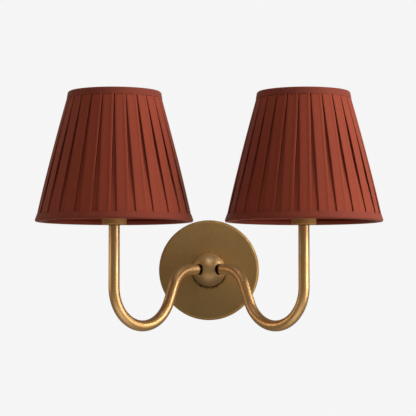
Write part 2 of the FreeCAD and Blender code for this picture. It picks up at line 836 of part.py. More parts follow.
def make_lead(side, way):
    """The flex in one arm: up from its way of the block, through pipe, ball and arm."""
    offset = cell("lead_offset").value
    rose_bend = cell("lead_rose_bend").value
    ball_bend = cell("lead_ball_bend").value
    angle = cell("arm_spread").value
    drop = cell("drop_angle").value
    half_tangent = ball_bend * math.tan(math.radians(angle / 2))
    past_ball = offset / math.sin(math.radians(angle))
    bend_y = ball_y.value - offset / math.tan(math.radians(angle)) + half_tangent
    block_y = pipe_back.value + rose_bend
    sine_drop = math.sin(math.radians(drop))
    level_run = cell("arm_reach").value - (cell("upper_bend").value + cell("lower_bend").value) * sine_drop
    level_run -= cell("drop_run").value * math.cos(math.radians(drop)) + cell("lower_bend").value
    route = Route(V(offset * way, block_y, cell("block_rise").value), V(0, 0, -1))
    route.run(cell("block_rise").value - rose_bend)
    route.bend(rose_bend, -90, V(1, 0, 0))
    route.run(pipe_back.value - bend_y)
    route.bend(ball_bend, angle * way, V(0, 0, 1))
    across = V(0, 0, 1).cross(route.heading)
    route.run(level_run - past_ball - half_tangent)
    route.bend(cell("upper_bend").value, drop, across)
    route.run(cell("drop_run").value)
    route.bend(cell("lower_bend").value, -drop - 90, across)
    route.run(rim_z.value + core_floor_bottom.value - route.place.z)
    shape, length = route.tube(lead_radius.value)
    lead = doc.addObject("Part::Feature", f"lead_{side}")
    lead.Label = f"lead_{side}"
    lead.Shape = shape
    expected = math.pi * lead_radius.value ** 2 * length
    print(f"lead_{side}: {length:.1f} mm long, volume {shape.Volume:.1f} of {expected:.1f} mm3")
    print(f"  bends of {rose_bend}, {ball_bend}, {cell('upper_bend').value}, {cell('lower_bend').value} mm")
    pieces.append(lead)


# ---------------------------------------------------------------- lamp holders

def seat_on_holder(piece, way, turn=None):
    return place(piece, x=holder_x * way, y=holder_y, z=rim_z, turn=turn)


def make_holder_cup(side, way):
    radius = cell("cup_diameter") / 2
    inside = radius - cell("cup_wall")
    body = turned_upright(f"holder_cup_{side}", [
        (thread_hole, cup_bottom), (radius, cup_bottom), (radius, cup_top),
        (inside, cup_top), (inside, cup_floor), (thread_hole, cup_floor),
    ])
    round_edges(body, f"holder_cup_{side}_edge", cell("cup_corner"), is_circle_at(radius, "z", cup_bottom))
    seat_on_holder(body, way)


def make_holder_pipe(side, way):
    bore = cell("holder_pipe_bore") / 2
    low = cup_bottom - cell("holder_pipe_grip")
    high = cup_floor + cell("holder_nut_thickness") + cell("holder_pipe_tail")
    body = turned_upright(f"holder_pipe_{side}", [
        (bore, low), (pipe_radius, low), (pipe_radius, high), (bore, high),
    ])
    seat_on_holder(body, way)


def make_holder_nut(side, way):
    body = hex_nut(f"holder_nut_{side}", "XY_Plane", cup_floor, cell("holder_nut_thickness"))
    seat_on_holder(body, way)


def make_holder_core(side, way):
    """The ceramic body: a hollow foot over the nut, a floor, and a well for the screw shell."""
    cavity = core_radius - cell("core_wall")
    well = cell("shell_bore") / 2 + cell("shell_wall") + cell("slip_gap") * 2
    body = turned_upright(f"holder_core_{side}", [
        (cavity, cup_floor), (core_radius, cup_floor), (core_radius, core_top), (well, core_top),
        (well, core_floor_top), (0, core_floor_top), (0, core_floor_bottom), (cavity, core_floor_bottom),
    ])
    seat_on_holder(body, way)


def make_screw_shell(side, way):
    bore = cell("shell_bore") / 2
    radius = bore + cell("shell_wall")
    eye = cell("shell_eye") / 2
    inner_floor = core_floor_top + cell("shell_wall")
    top = core_floor_top + cell("shell_height")
    body = turned_upright(f"screw_shell_{side}", [
        (eye, core_floor_top), (radius, core_floor_top), (radius, top),
        (bore, top), (bore, inner_floor), (eye, inner_floor),
    ])
    seat_on_holder(body, way)


def make_centre_contact(side, way):
    foot = cell("contact_foot") / 2
    pin = cell("contact_diameter") / 2
    shoulder = core_floor_top + cell("contact_foot_thickness")
    top = core_floor_top + cell("contact_height")
    body = turned_upright(f"centre_contact_{side}", [
        (0, core_floor_top), (foot, core_floor_top), (foot, shoulder), (pin, shoulder), (pin, top), (0, top),
    ])
    seat_on_holder(body, way)


def make_holder_sleeve(side, way):
    """The threaded sleeve, with the flange that its shade stands on and a spigot into the cup."""
    bore = cell("sleeve_bore") / 2
    spigot = cell("cup_diameter") / 2 - cell("cup_wall") - cell("slip_gap")
    spigot_low = cup_top - cell("sleeve_spigot")
    flange = cell("flange_diameter") / 2
    sleeve_top = flange_top + cell("sleeve_height")
    valley = sleeve_radius - cell("thread_depth")
    turns = int(cell("thread_turns").value)
    pitch = (cell("sleeve_height") - cell("thread_margin") * 2) / cell("thread_turns")
    corners = [
        (bore, sleeve_top), (bore, spigot_low), (spigot, spigot_low), (spigot, cup_top),
        (flange, cup_top), (flange, flange_top), (sleeve_radius, flange_top),
    ]
    for turn in range(turns):
        crest = flange_top + cell("thread_margin") + pitch * turn
        corners.append((sleeve_radius, crest))
        corners.append((valley, crest + pitch / 2))
    corners.append((sleeve_radius, sleeve_top - cell("thread_margin")))
    corners.append((valley, sleeve_top))
    body = turned_upright(f"holder_sleeve_{side}", corners)
    seat_on_holder(body, way)


def make_shade_ring(side, way):
    """The nut that clamps the shade's fitter down, scalloped for the fingers."""
    bore = sleeve_radius + cell("thread_gap")
    radius = cell("ring_diameter") / 2
    top = ring_bottom + cell("ring_height")
    notch = cell("ring_notch") / 2
    body = turned_upright(f"shade_ring_{side}", [
        (bore, ring_bottom), (radius, ring_bottom), (radius, top - notch), (radius - notch, top), (bore, top),
    ])
    outline = sketch_on(body, f"ring_{side}_notch_outline", "XY_Plane")
    draw_circle(outline, radius + notch / 2, 0, notch)
    cut = pocket_through(body, f"ring_{side}_notch", outline)
    around(body, f"ring_{side}_notches", [cut], cell("ring_notch_count"))
    seat_on_holder(body, way)


# ---------------------------------------------------------------- lamps

def make_bulb_cap(side, way):
    inside = cap_radius - cell("cap_wall")
    body = turned_upright(f"bulb_cap_{side}", [
        (inside, cap_shell_bottom), (cap_radius, cap_shell_bottom),
        (cap_radius, cap_shell_top), (inside, cap_shell_top),
    ])
    seat_on_holder(body, way)


def make_bulb_base(side, way):
    """The dark insulator between the cap's shell and its centre tip."""
    low = lamp_bottom + cell("cap_tip")
    foot = cell("cap_tip_diameter") / 2 + cell("cap_wall")
    body = turned_upright(f"bulb_base_{side}", [
        (0, low), (foot, low), (cap_radius, cap_shell_bottom), (0, cap_shell_bottom),
    ])
    seat_on_holder(body, way)


def make_bulb_tip(side, way):
    high = lamp_bottom + cell("cap_tip")
    radius = cell("cap_tip_diameter") / 2
    body = turned_upright(f"bulb_tip_{side}", [
        (0, lamp_bottom), (radius / 2, lamp_bottom), (radius, high), (0, high),
    ])
    seat_on_holder(body, way)


def candle_profile(inset):
    """Half of the candle lamp's outline: up from its neck, out to its belly, in to its tip."""
    neck = cell("glass_neck").value / 2 - inset
    belly = cell("glass_diameter").value / 2 - inset
    low = cap_shell_top.value - cell("cap_insulator").value
    high = lamp_top.value - inset
    rise = lamp_top.value - cap_shell_top.value
    points = [
        V(neck, 0, low),
        V(neck, 0, cap_shell_top.value),
        V(belly * 0.74, 0, cap_shell_top.value + rise * 0.2),
        V(belly, 0, cap_shell_top.value + rise * 0.43),
        V(belly * 0.74, 0, cap_shell_top.value + rise * 0.73),
        V(0, 0, high),
    ]
    straight = Part.LineSegment(points[0], points[1])
    curve = Part.BSplineCurve()
    curve.interpolate(Points=points[1:], InitialTangent=V(0, 0, 1), FinalTangent=V(-1, 0, 0))
    return straight, curve


def make_bulb_glass(side, way):
    outer_neck, outer = candle_profile(0)
    inner_neck, inner = candle_profile(cell("glass_wall").value)
    tip = Part.LineSegment(outer.EndPoint, inner.EndPoint)
    mouth = Part.LineSegment(inner_neck.StartPoint, outer_neck.StartPoint)
    outline = Part.Wire([
        outer_neck.toShape(), outer.toShape(), tip.toShape(), inner.toShape(),
        inner_neck.toShape(), mouth.toShape(),
    ])
    glass = doc.addObject("Part::Feature", f"bulb_glass_{side}")
    glass.Label = f"bulb_glass_{side}"
    glass.Shape = Part.Face(outline).revolve(V(0, 0, 0), V(0, 0, 1), 360)
    glass.Placement = FreeCAD.Placement(
        V(holder_x.value * way, holder_y.value, rim_z.value), FreeCAD.Rotation())
    pieces.append(glass)


def make_bulb_filament(side, way):
    """A glass stem with a small disc at each end of a cage of upright filaments."""
    low = cap_shell_top - cell("cap_insulator")
    stem = cell("stem_diameter") / 2
    foot = cell("glass_neck") / 2 - cell("glass_wall") - cell("loose_gap")
    cage_low = lamp_bottom + cell("filament_rise")
    cage_high = cage_low + cell("filament_length")
    disc = cell("filament_spread") / 2 + cell("filament_diameter")
    plate = cell("stem_diameter") / 4
    body = turned_upright(f"bulb_filament_{side}", [
        (0, low), (foot, low), (stem, low + foot), (stem, cage_low), (disc, cage_low),
        (disc, cage_low + plate), (stem, cage_low + plate), (stem, cage_high), (disc, cage_high),
        (disc, cage_high + plate), (0, cage_high + plate),
    ])
    outline = sketch_on(body, f"filament_{side}_outline", "XY_Plane", lift=cage_low)
    rod_place = cell("filament_spread") / 2 + cell("stem_diameter") / 4
    draw_circle(outline, rod_place, 0, cell("filament_diameter") / 2)
    rod = pad(body, f"filament_{side}", outline, cell("filament_length") + plate / 2)
    around(body, f"filaments_{side}", [rod], cell("filament_count"))
    seat_on_holder(body, way)


# ---------------------------------------------------------------- shades

def cone_shell(name, outer_inset, inner_inset):
    return turned_upright(name, [
        (cone(layer_low, outer_inset), layer_low), (cone(layer_high, outer_inset), layer_high),
        (cone(layer_high, inner_inset), layer_high), (cone(layer_low, inner_inset), layer_low),
    ])


def make_cover(side, way):
    """The box-pleated cloth: flat panels, with gaps between them that open towards the foot."""
    body = cone_shell(f"pleated_cover_{side}", cover_out, cover_in)
    tuck = cell("tape_thickness") * 2
    ends = (
        ("foot", cell("bottom_tape") - tuck, cell("pleat_gap_bottom")),
        ("head", cell("shade_height") - cell("top_tape") + tuck, cell("pleat_gap_top")),
    )
    sections = []
    for end, height, gap in ends:
        section = sketch_on(body, f"pleat_{end}_{side}", "XY_Plane", lift=height)
        floor = cone(height, cover_out) - cell("pleat_depth")
        draw_box(section, floor, cone(height) + cell("pleat_depth"), -gap / 2, gap / 2)
        sections.append(section)
    gap_cut = body.newObject("PartDesign::SubtractiveLoft", f"pleat_gap_{side}")
    gap_cut.Profile = sections[0]
    gap_cut.Sections = [sections[1]]
    gap_cut.Ruled = True
    around(body, f"pleat_gaps_{side}", [gap_cut], cell("pleat_count"))
    seat_on_holder(body, way, turn=cell(f"pleat_turn_{side}"))


def make_lining(side, way):
    seat_on_holder(cone_shell(f"shade_lining_{side}", lining_out, lining_in), way)


def make_tape(name, way, rim, tape_height, up):
    """A bound edge, folded over the rim: up is 1 at the foot of the shade and -1 at its head."""
    fold = cell("tape_thickness")

    def at(height, inset):
        level = rim + height * up
        return (cone(level, inset), level)

    body = turned_upright(name, [
        at(as_size(0), 0), at(tape_height, 0), at(tape_height, fold), at(fold, fold),
        at(fold, turn_in_out), at(cell("tape_turn_in"), turn_in_out),
        at(cell("tape_turn_in"), turn_in_in), at(as_size(0), turn_in_in),
    ])
    seat_on_holder(body, way)


def wire_ring(body, name, height):
    section = sketch_on(body, f"{name}_section", "XZ_Plane")
    draw_circle(section, cone(height, wire_inset), height, wire_radius)
    turn_profile(body, name, "Revolution", section, "V_Axis")


def make_top_wire(side, way):
    body = new_body(f"top_wire_{side}")
    wire_ring(body, f"top_ring_{side}", wire_high)
    seat_on_holder(body, way)


def make_fitter(side, way):
    """The bottom wire ring, three spokes and the flat ring that drops over the holder."""
    body = new_body(f"shade_fitter_{side}")
    wire_ring(body, f"bottom_ring_{side}", wire_low)
    fitter_radius = cell("fitter_diameter") / 2
    fitter_middle = fitter_bottom + cell("fitter_thickness") / 2
    spoke_end = fitter_radius - wire_radius
    path = sketch_on(body, f"spoke_path_{side}", "XZ_Plane")
    corners = [
        (cone(wire_low, wire_inset), wire_low),
        (cone(cell("spoke_rise"), wire_inset), cell("spoke_rise")),
        (spoke_end, fitter_middle),
    ]
    points = [V(x.value, z.value, 0) for x, z in corners]
    riser = path.addGeometry(Part.LineSegment(points[0], points[1]), False)
    spoke = path.addGeometry(Part.LineSegment(points[1], points[2]), False)
    path.addConstraint(Sketcher.Constraint("Coincident", riser, 2, spoke, 1))
    hold_point(path, riser, 1, *corners[0])
    hold_point(path, riser, 2, *corners[1])
    hold_point(path, spoke, 2, *corners[2])
    section = sketch_on(body, f"spoke_section_{side}", "XY_Plane", lift=wire_low)
    draw_circle(section, corners[0][0], 0, wire_radius)
    doc.recompute()
    arm = body.newObject("PartDesign::AdditivePipe", f"spoke_{side}")
    arm.Profile = section
    arm.Spine = (path, ["Edge1", "Edge2"])
    arm.Transition = "Round corner"
    around(body, f"spokes_{side}", [arm], cell("spoke_count"))
    plate = sketch_on(body, f"fitter_plate_outline_{side}", "XY_Plane", lift=fitter_bottom)
    draw_circle(plate, 0, 0, fitter_radius)
    pad(body, f"fitter_plate_{side}", plate, cell("fitter_thickness"))
    bore = sketch_on(body, f"fitter_bore_{side}", "XY_Plane", lift=fitter_top)
    draw_circle(bore, 0, 0, sleeve_radius + cell("loose_gap"))
    pocket_through(body, f"fitter_bore_cut_{side}", bore)
    seat_on_holder(body, way, turn=-90)


# ---------------------------------------------------------------- assembly and export

def make_everything():
    make_bracket()
    make_canopy()
    make_canopy_screws()
    make_earth_screw()
    make_terminal_block()
    make_terminal_clamps()
    make_terminal_screws()
    make_block_screws()
    make_ball()
    make_neck()
    make_hub_pipe()
    make_hub_washer()
    make_hub_nut()
    for side, way in SIDES:
        make_arm(side, way)
        make_lead(side, way)
        make_holder_cup(side, way)
        make_holder_pipe(side, way)
        make_holder_nut(side, way)
        make_holder_core(side, way)
        make_screw_shell(side, way)
        make_centre_contact(side, way)
        make_holder_sleeve(side, way)
        make_shade_ring(side, way)
        make_bulb_cap(side, way)
        make_bulb_base(side, way)
        make_bulb_tip(side, way)
        make_bulb_glass(side, way)
        make_bulb_filament(side, way)
        make_cover(side, way)
        make_lining(side, way)
        make_top_wire(side, way)
        make_fitter(side, way)
        make_tape(f"top_tape_{side}", way, cell("shade_height"), cell("top_tape"), -1)
        make_tape(f"bottom_tape_{side}", way, as_size(0), cell("bottom_tape"), 1)


def check_everything():
    for thing in doc.Objects:
        if "Invalid" in thing.State or "Error" in thing.State:
            raise RuntimeError(f"{thing.Label} is in state {thing.State}")
    for piece in pieces:
        shape = piece.Shape
        if shape.isNull() or not shape.isValid() or not shape.Solids:
            raise RuntimeError(f"{piece.Label} has no valid solid")


def export_everything():
    os.makedirs("parts", exist_ok=True)
    for piece in pieces:
        shape = piece.Shape
        box = shape.BoundBox
        low = f"{box.XMin:.1f} {box.YMin:.1f} {box.ZMin:.1f}"
        high = f"{box.XMax:.1f} {box.YMax:.1f} {box.ZMax:.1f}"
        print(f"{piece.Label}: {len(shape.Solids)} solids, {shape.Volume:.0f} mm3, {low} to {high}")
        shape.exportStep(f"parts/{piece.Label}.step")
    print(f"{len(pieces)} parts")


make_everything()
doc.recompute()
check_everything()
export_everything()
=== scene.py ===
# %% [markdown]
# # Dressing a double arm wall sconce
#
# The sconce is a round brass rose on the wall, a small brass ball on a short neck, and two bent
# brass tubes that carry a lamp holder, a lamp and a pleated cloth shade each. The hard pieces come
# from the drawing office as a frame, in metres, already in place. This lesson gives each of them
# its finish, and makes the soft pieces, which a drawing can only block out: the pleated cloth, its
# lining and the bound edges of both shades.

# %% Load the frame
import math

import bpy
from mathutils import Euler, Matrix, Vector, noise


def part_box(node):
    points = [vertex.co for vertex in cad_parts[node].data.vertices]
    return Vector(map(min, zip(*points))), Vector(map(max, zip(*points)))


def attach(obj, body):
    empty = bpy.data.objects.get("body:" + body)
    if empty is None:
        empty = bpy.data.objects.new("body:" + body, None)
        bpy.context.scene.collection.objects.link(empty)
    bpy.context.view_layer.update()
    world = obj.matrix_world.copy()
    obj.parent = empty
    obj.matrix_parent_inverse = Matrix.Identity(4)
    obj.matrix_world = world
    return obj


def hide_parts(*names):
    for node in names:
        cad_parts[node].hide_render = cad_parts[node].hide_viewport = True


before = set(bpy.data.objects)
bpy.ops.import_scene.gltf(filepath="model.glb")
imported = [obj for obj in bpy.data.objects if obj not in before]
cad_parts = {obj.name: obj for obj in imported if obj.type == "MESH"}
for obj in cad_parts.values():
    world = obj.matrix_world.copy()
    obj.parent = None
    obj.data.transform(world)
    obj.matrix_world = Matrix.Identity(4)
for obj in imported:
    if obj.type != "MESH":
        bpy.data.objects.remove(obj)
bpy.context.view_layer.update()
MM = 0.001
SIDES = ("left", "right")

# %% [markdown]
# ## The camera comes first
#
# A product photographer stands well back with a long lens, so that the shades stay upright and the
# near one looks no larger than the other. The lens here has a narrow view, and the camera sits a
# little below the shades and looks up at them, which shows a sliver of each lining. A nearer, wider
# lens would fill the picture as well, but it would open up the undersides far more than this.

# %% Place the camera
scene = bpy.context.scene
IMAGE_SIDE = 416
FOCAL_PIXELS = 1750
CAMERA_PLACE = (-0.0012, -2.138, -0.038)
CAMERA_RISE = 3.06

lens = bpy.data.cameras.new("studio_camera")
lens.sensor_width = 36
lens.lens = FOCAL_PIXELS / IMAGE_SIDE * lens.sensor_width
lens.clip_start = 0.05
camera = bpy.data.objects.new("studio_camera", lens)
camera.location = CAMERA_PLACE
camera.rotation_euler = Euler((math.radians(90 + CAMERA_RISE), 0, 0))
scene.collection.objects.link(camera)
scene.camera = camera
scene.view_settings.view_transform = "Standard"
print("lens of", round(lens.lens, 1), "mm")

# %% [markdown]
# ## A plain pale room
#
# The floor lies far below, pale and plain, so that it never hides the undersides from a low camera.
# The sky is a soft grey that every surface reflects a little, and to the camera's own rays it is
# nearly white, as a lit paper background is. Polished brass mirrors all round it, so a sky as bright
# as the background would wash the metal out. The floor glows for the camera in the same way, and
# lights the piece only by what its paint reflects.

# %% Lay the floor and set the sky
FLOOR_DROP = 2.4
FLOOR_SIDE = 7.0
FLOOR_PAINT = (0.70, 0.70, 0.69, 1)
FLOOR_GLOW = (0.62, 0.62, 0.615, 1)
PAPER_WHITE = 0.915
SKY_GREY = 0.16
SKY_COOLNESS = 1.02


def deselect():
    """Puts Blender in object mode with nothing selected."""
    if bpy.context.object and bpy.context.object.mode != "OBJECT":
        bpy.ops.object.mode_set(mode="OBJECT")
    bpy.ops.object.select_all(action="DESELECT")


deselect()
bpy.ops.mesh.primitive_plane_add(size=FLOOR_SIDE, location=(0, 0, -FLOOR_DROP))
floor = bpy.context.object
floor.name = "studio_floor"

floor_paint = bpy.data.materials.new("pale_floor_paint")
floor_paint.use_nodes = True
floor_tree = floor_paint.node_tree
floor_shader = floor_tree.nodes["Principled BSDF"]
floor_shader.inputs["Base Color"].default_value = FLOOR_PAINT
floor_shader.inputs["Roughness"].default_value = 0.7
floor_shader.inputs["Emission Color"].default_value = FLOOR_GLOW
floor_ray = floor_tree.nodes.new("ShaderNodeLightPath")
floor_strength = floor_shader.inputs["Emission Strength"]
floor_tree.links.new(floor_ray.outputs["Is Camera Ray"], floor_strength)
floor.data.materials.append(floor_paint)

sky = bpy.data.worlds.new("studio_sky")
scene.world = sky
sky.use_nodes = True
sky_nodes = sky.node_tree.nodes
sky_links = sky.node_tree.links
sky_nodes.clear()
seen = sky_nodes.new("ShaderNodeBackground")
seen.inputs["Color"].default_value = (PAPER_WHITE, PAPER_WHITE, PAPER_WHITE, 1)
felt = sky_nodes.new("ShaderNodeBackground")
felt.inputs["Color"].default_value = (SKY_GREY, SKY_GREY, SKY_GREY * SKY_COOLNESS, 1)
which_ray = sky_nodes.new("ShaderNodeLightPath")
either = sky_nodes.new("ShaderNodeMixShader")
sky_out = sky_nodes.new("ShaderNodeOutputWorld")
sky_links.new(which_ray.outputs["Is Camera Ray"], either.inputs["Fac"])
sky_links.new(felt.outputs["Background"], either.inputs[1])
sky_links.new(seen.outputs["Background"], either.inputs[2])
sky_links.new(either.outputs["Shader"], sky_out.inputs["Surface"])

# %% [markdown]
# ## Soft boxes
#
# The main light is a large soft box on the right, a little in front of the wall and raised. The
# shades are dark from their left side to the middle and light only on the right, so the light
# stands about 75 degrees round from the camera. It catches every fold that faces right and leaves
# a shadow in the right side of every pleat. It is reflected along the right side of both tubes, and
# a strip below it carries that line down to the bends. A weak warm light at the far left touches
# only the outermost panel of each shade. A wide, dim box overhead gives the ball its soft dome and
# both arms the bloom along their upper sides, and a dimmer one below lifts the undersides.

# %% Hang the lights
LOOK_AT = Vector((0, -0.12, 0.06))


def soft_box(name, place, size, watts, tint=(1, 1, 1)):
    """An area light of (width, height) metres that faces the sconce."""
    lamp = bpy.data.lights.new(name, "AREA")
    lamp.shape = "RECTANGLE"
    lamp.size, lamp.size_y = size
    lamp.energy = watts
    lamp.color = tint
    box = bpy.data.objects.new(name, lamp)
    box.location = place
    box.rotation_euler = (LOOK_AT - Vector(place)).to_track_quat("-Z", "Y").to_euler()
    box.visible_camera = False
    scene.collection.objects.link(box)


soft_box("main_soft_box", (1.64, -0.56, 0.86), (1.2, 1.0), 31, (1.0, 0.985, 0.96))
soft_box("right_strip", (1.3, -0.72, -0.12), (0.5, 0.8), 7)
soft_box("left_fill", (-1.9, -0.10, 0.35), (0.5, 0.9), 4.5, (1.0, 0.80, 0.58))
soft_box("top_soft_box", (0.0, -0.95, 1.45), (1.6, 1.1), 7)
soft_box("low_bounce", (0.0, -0.90, -1.10), (1.8, 1.0), 4.5, (1.0, 0.98, 0.95))

# %% [markdown]
# ## Effects that several finishes share
#
# Blotches of patina, the fine lines left by polishing, painted shade round the joints and a weave all
# turn up on more than one material, so each is a node group, built once. The rose's tarnished rim is
# made the same way. A group takes a place on the piece and gives back a mask, a tone or a height; the
# shader itself stays in each material.

# %% Helpers for node groups
def start_group(name, inputs, outputs):
    """A shader node group with its sockets, and its input and output nodes."""
    tree = bpy.data.node_groups.new(name, "ShaderNodeTree")
    for label, kind, value in inputs:
        socket = tree.interface.new_socket(label, in_out="INPUT", socket_type=kind)
        if value is not None:
            socket.default_value = value
    for label, kind in outputs:
        tree.interface.new_socket(label, in_out="OUTPUT", socket_type=kind)
    return tree, tree.nodes.new("NodeGroupInput"), tree.nodes.new("NodeGroupOutput")


def feed(tree, socket, value):
    """Gives a socket a number, a colour or another node's output."""
    if isinstance(value, bpy.types.NodeSocket):
        tree.links.new(value, socket)
    elif isinstance(value, tuple):
        socket.default_value = (*value, 1)
    else:
        socket.default_value = value


def math_node(tree, operation, first, second=None, clamp=False):
    """A Math node; each operand is a number or another node's output."""
    node = tree.nodes.new("ShaderNodeMath")
    node.operation = operation
    node.use_clamp = clamp
    feed(tree, node.inputs[0], first)
    if second is not None:
        feed(tree, node.inputs[1], second)
    return node.outputs["Value"]


def noise_node(tree, where, scale, detail=4.0, roughness=0.55):
    """A noise texture; scale is a number or another node's output."""
    node = tree.nodes.new("ShaderNodeTexNoise")
    feed(tree, node.inputs["Vector"], where)
    feed(tree, node.inputs["Scale"], scale)
    node.inputs["Detail"].default_value = detail
    node.inputs["Roughness"].default_value = roughness
    return node.outputs["Fac"]


def range_node(tree, value, low, high, to_low=0.0, to_high=1.0):
    """A smooth step from one range to another."""
    node = tree.nodes.new("ShaderNodeMapRange")
    node.interpolation_type = "SMOOTHSTEP"
    feed(tree, node.inputs["Value"], value)
    ends = {"From Min": low, "From Max": high, "To Min": to_low, "To Max": to_high}
    for label, end in ends.items():
        feed(tree, node.inputs[label], end)
    return node.outputs["Result"]


def mapped(tree, where, scale):
    """The place, stretched by a factor along each axis."""
    node = tree.nodes.new("ShaderNodeMapping")
    node.inputs["Scale"].default_value = scale
    feed(tree, node.inputs["Vector"], where)
    return node.outputs["Vector"]


def length_node(tree, vector):
    """How far a place is from its origin."""
    node = tree.nodes.new("ShaderNodeVectorMath")
    node.operation = "LENGTH"
    feed(tree, node.inputs[0], vector)
    return node.outputs["Value"]


# %% Patina blotches
SPECKS_PER_PATCH = 9.0
PATCH_SHARE = 0.7


def build_blotches():
    """Cloudy patches with smaller speckles in them, as old lacquered brass has."""
    tree, given, result = start_group(
        "patina_blotches",
        [("Place", "NodeSocketVector", None), ("Patches per metre", "NodeSocketFloat", 16.0)],
        [("Mask", "NodeSocketFloat"), ("Speckle", "NodeSocketFloat")],
    )
    place = given.outputs["Place"]
    patch_scale = given.outputs["Patches per metre"]
    speck_scale = math_node(tree, "MULTIPLY", patch_scale, SPECKS_PER_PATCH)
    patches = range_node(tree, noise_node(tree, place, patch_scale, 5.0, 0.6), 0.36, 0.66)
    specks = range_node(tree, noise_node(tree, place, speck_scale, 6.0, 0.65), 0.40, 0.72)
    weak_patches = math_node(tree, "MULTIPLY", patches, PATCH_SHARE)
    weak_specks = math_node(tree, "MULTIPLY", specks, 1 - PATCH_SHARE)
    mask = math_node(tree, "ADD", weak_patches, weak_specks, clamp=True)
    tree.links.new(mask, result.inputs["Mask"])
    tree.links.new(specks, result.inputs["Speckle"])
    return tree


blotches = build_blotches()


# %% Polishing lines
FINE_LINES = (2400, 2400, 90)
CROSSING_LINES = (150, 1500, 1500)


def build_polish_lines():
    """Very fine scratches along one direction, crossed by a few longer ones."""
    tree, given, result = start_group(
        "polishing_lines",
        [("Place", "NodeSocketVector", None)],
        [("Height", "NodeSocketFloat")],
    )
    place = given.outputs["Place"]
    fine = noise_node(tree, mapped(tree, place, FINE_LINES), 1.0, 2.0, 0.5)
    crossing = noise_node(tree, mapped(tree, place, CROSSING_LINES), 1.0, 2.0, 0.5)
    along = math_node(tree, "MULTIPLY", fine, 0.6)
    across = math_node(tree, "MULTIPLY", crossing, 0.4)
    tree.links.new(math_node(tree, "ADD", along, across), result.inputs["Height"])
    return tree


polish_lines = build_polish_lines()


# %% Tarnished rim
def build_rim_tarnish():
    """Dull tarnished band near a turned piece's largest radius; its axis is the place's own Z."""
    tree, given, result = start_group(
        "tarnished_rim",
        [("Place", "NodeSocketVector", None), ("Radius", "NodeSocketFloat", 0.06),
         ("Width", "NodeSocketFloat", 0.002)],
        [("Mask", "NodeSocketFloat")],
    )
    place = given.outputs["Place"]
    width = given.outputs["Width"]
    ragged = math_node(tree, "SUBTRACT", noise_node(tree, place, 120.0, 4.0), 0.5)
    shift = math_node(tree, "MULTIPLY", ragged, width)
    radius = math_node(tree, "ADD", length_node(tree, mapped(tree, place, (1, 1, 0))), shift)
    start = math_node(tree, "SUBTRACT", given.outputs["Radius"], width)
    mask = range_node(tree, radius, start, given.outputs["Radius"])
    tree.links.new(mask, result.inputs["Mask"])
    return tree


rim_tarnish = build_rim_tarnish()


# %% Painted shade in joints
def build_painted_joint_shade():
    """Painted shade within a distance of a joint's centre, with a ragged edge."""
    tree, given, result = start_group(
        "painted_joint_shade",
        [("Place", "NodeSocketVector", None), ("Reach", "NodeSocketFloat", 0.02),
         ("Fade", "NodeSocketFloat", 0.002)],
        [("Mask", "NodeSocketFloat")],
    )
    place = given.outputs["Place"]
    reach = given.outputs["Reach"]
    fade = given.outputs["Fade"]
    ragged = math_node(tree, "SUBTRACT", noise_node(tree, place, 260.0, 3.0), 0.5)
    shift = math_node(tree, "MULTIPLY", ragged, fade)
    distance = math_node(tree, "ADD", length_node(tree, place), shift)
    far = math_node(tree, "ADD", reach, fade)
    mask = range_node(tree, distance, reach, far, 1.0, 0.0)
    tree.links.new(mask, result.inputs["Mask"])
    return tree


painted_joint_shade = build_painted_joint_shade()


# %% Weave
SLUBS_ACROSS = 900
SLUBS_ALONG = 28


def build_weave():
    """Plain weave from a cloth's flat coordinates: over-and-under threads, with thicker slubs."""
    tree, given, result = start_group(
        "plain_weave",
        [("Flat place", "NodeSocketVector", None),
         ("Threads per metre", "NodeSocketFloat", 2400.0)],
        [("Height", "NodeSocketFloat"), ("Thread tone", "NodeSocketFloat"),
         ("Slub", "NodeSocketFloat")],
    )
    flat = given.outputs["Flat place"]
    split = tree.nodes.new("ShaderNodeSeparateXYZ")
    tree.links.new(flat, split.inputs["Vector"])
    turns = math_node(tree, "MULTIPLY", given.outputs["Threads per metre"], math.pi)
    warp = math_node(tree, "SINE", math_node(tree, "MULTIPLY", split.outputs["X"], turns))
    weft = math_node(tree, "SINE", math_node(tree, "MULTIPLY", split.outputs["Y"], turns))
    height = math_node(tree, "MULTIPLY", warp, weft)
    slub_across = noise_node(tree, mapped(tree, flat, (SLUBS_ACROSS, SLUBS_ALONG, 1)), 1.0, 3.0)
    slub_along = noise_node(tree, mapped(tree, flat, (SLUBS_ALONG, SLUBS_ACROSS, 1)), 1.0, 3.0)
    tone = math_node(tree, "ADD", math_node(tree, "MULTIPLY", slub_across, 0.5),
                     math_node(tree, "MULTIPLY", slub_along, 0.5))
    raised = math_node(tree, "MULTIPLY", math_node(tree, "SUBTRACT", tone, 0.5), 3.0)
    tree.links.new(math_node(tree, "ADD", height, raised), result.inputs["Height"])
    tree.links.new(tone, result.inputs["Thread tone"])
    tree.links.new(range_node(tree, slub_along, 0.6, 0.75), result.inputs["Slub"])
    return tree


weave = build_weave()
print("node groups:", [g.name for g in bpy.data.node_groups])

# %% [markdown]
# ## Metals
#
# The rose, ball, neck, tubes and cups are brass that was darkened and then rubbed back. It is brown
# in the flats, more golden where hands and cloths reach, and tarnished on the rose's rim. Colour
# and roughness follow the same blotches, so a darker patch is also a duller one, as on real patina.
# Shade is also painted into the colour: round the joints, on the lower parts of the rose and the
# ball, and over the whole neck, which lies in the ball's shade.

# %% Helpers for materials
def start_material(name):
    """A new node material, its tree and its shader."""
    material = bpy.data.materials.new(name)
    material.use_nodes = True
    return material, material.node_tree, material.node_tree.nodes["Principled BSDF"]


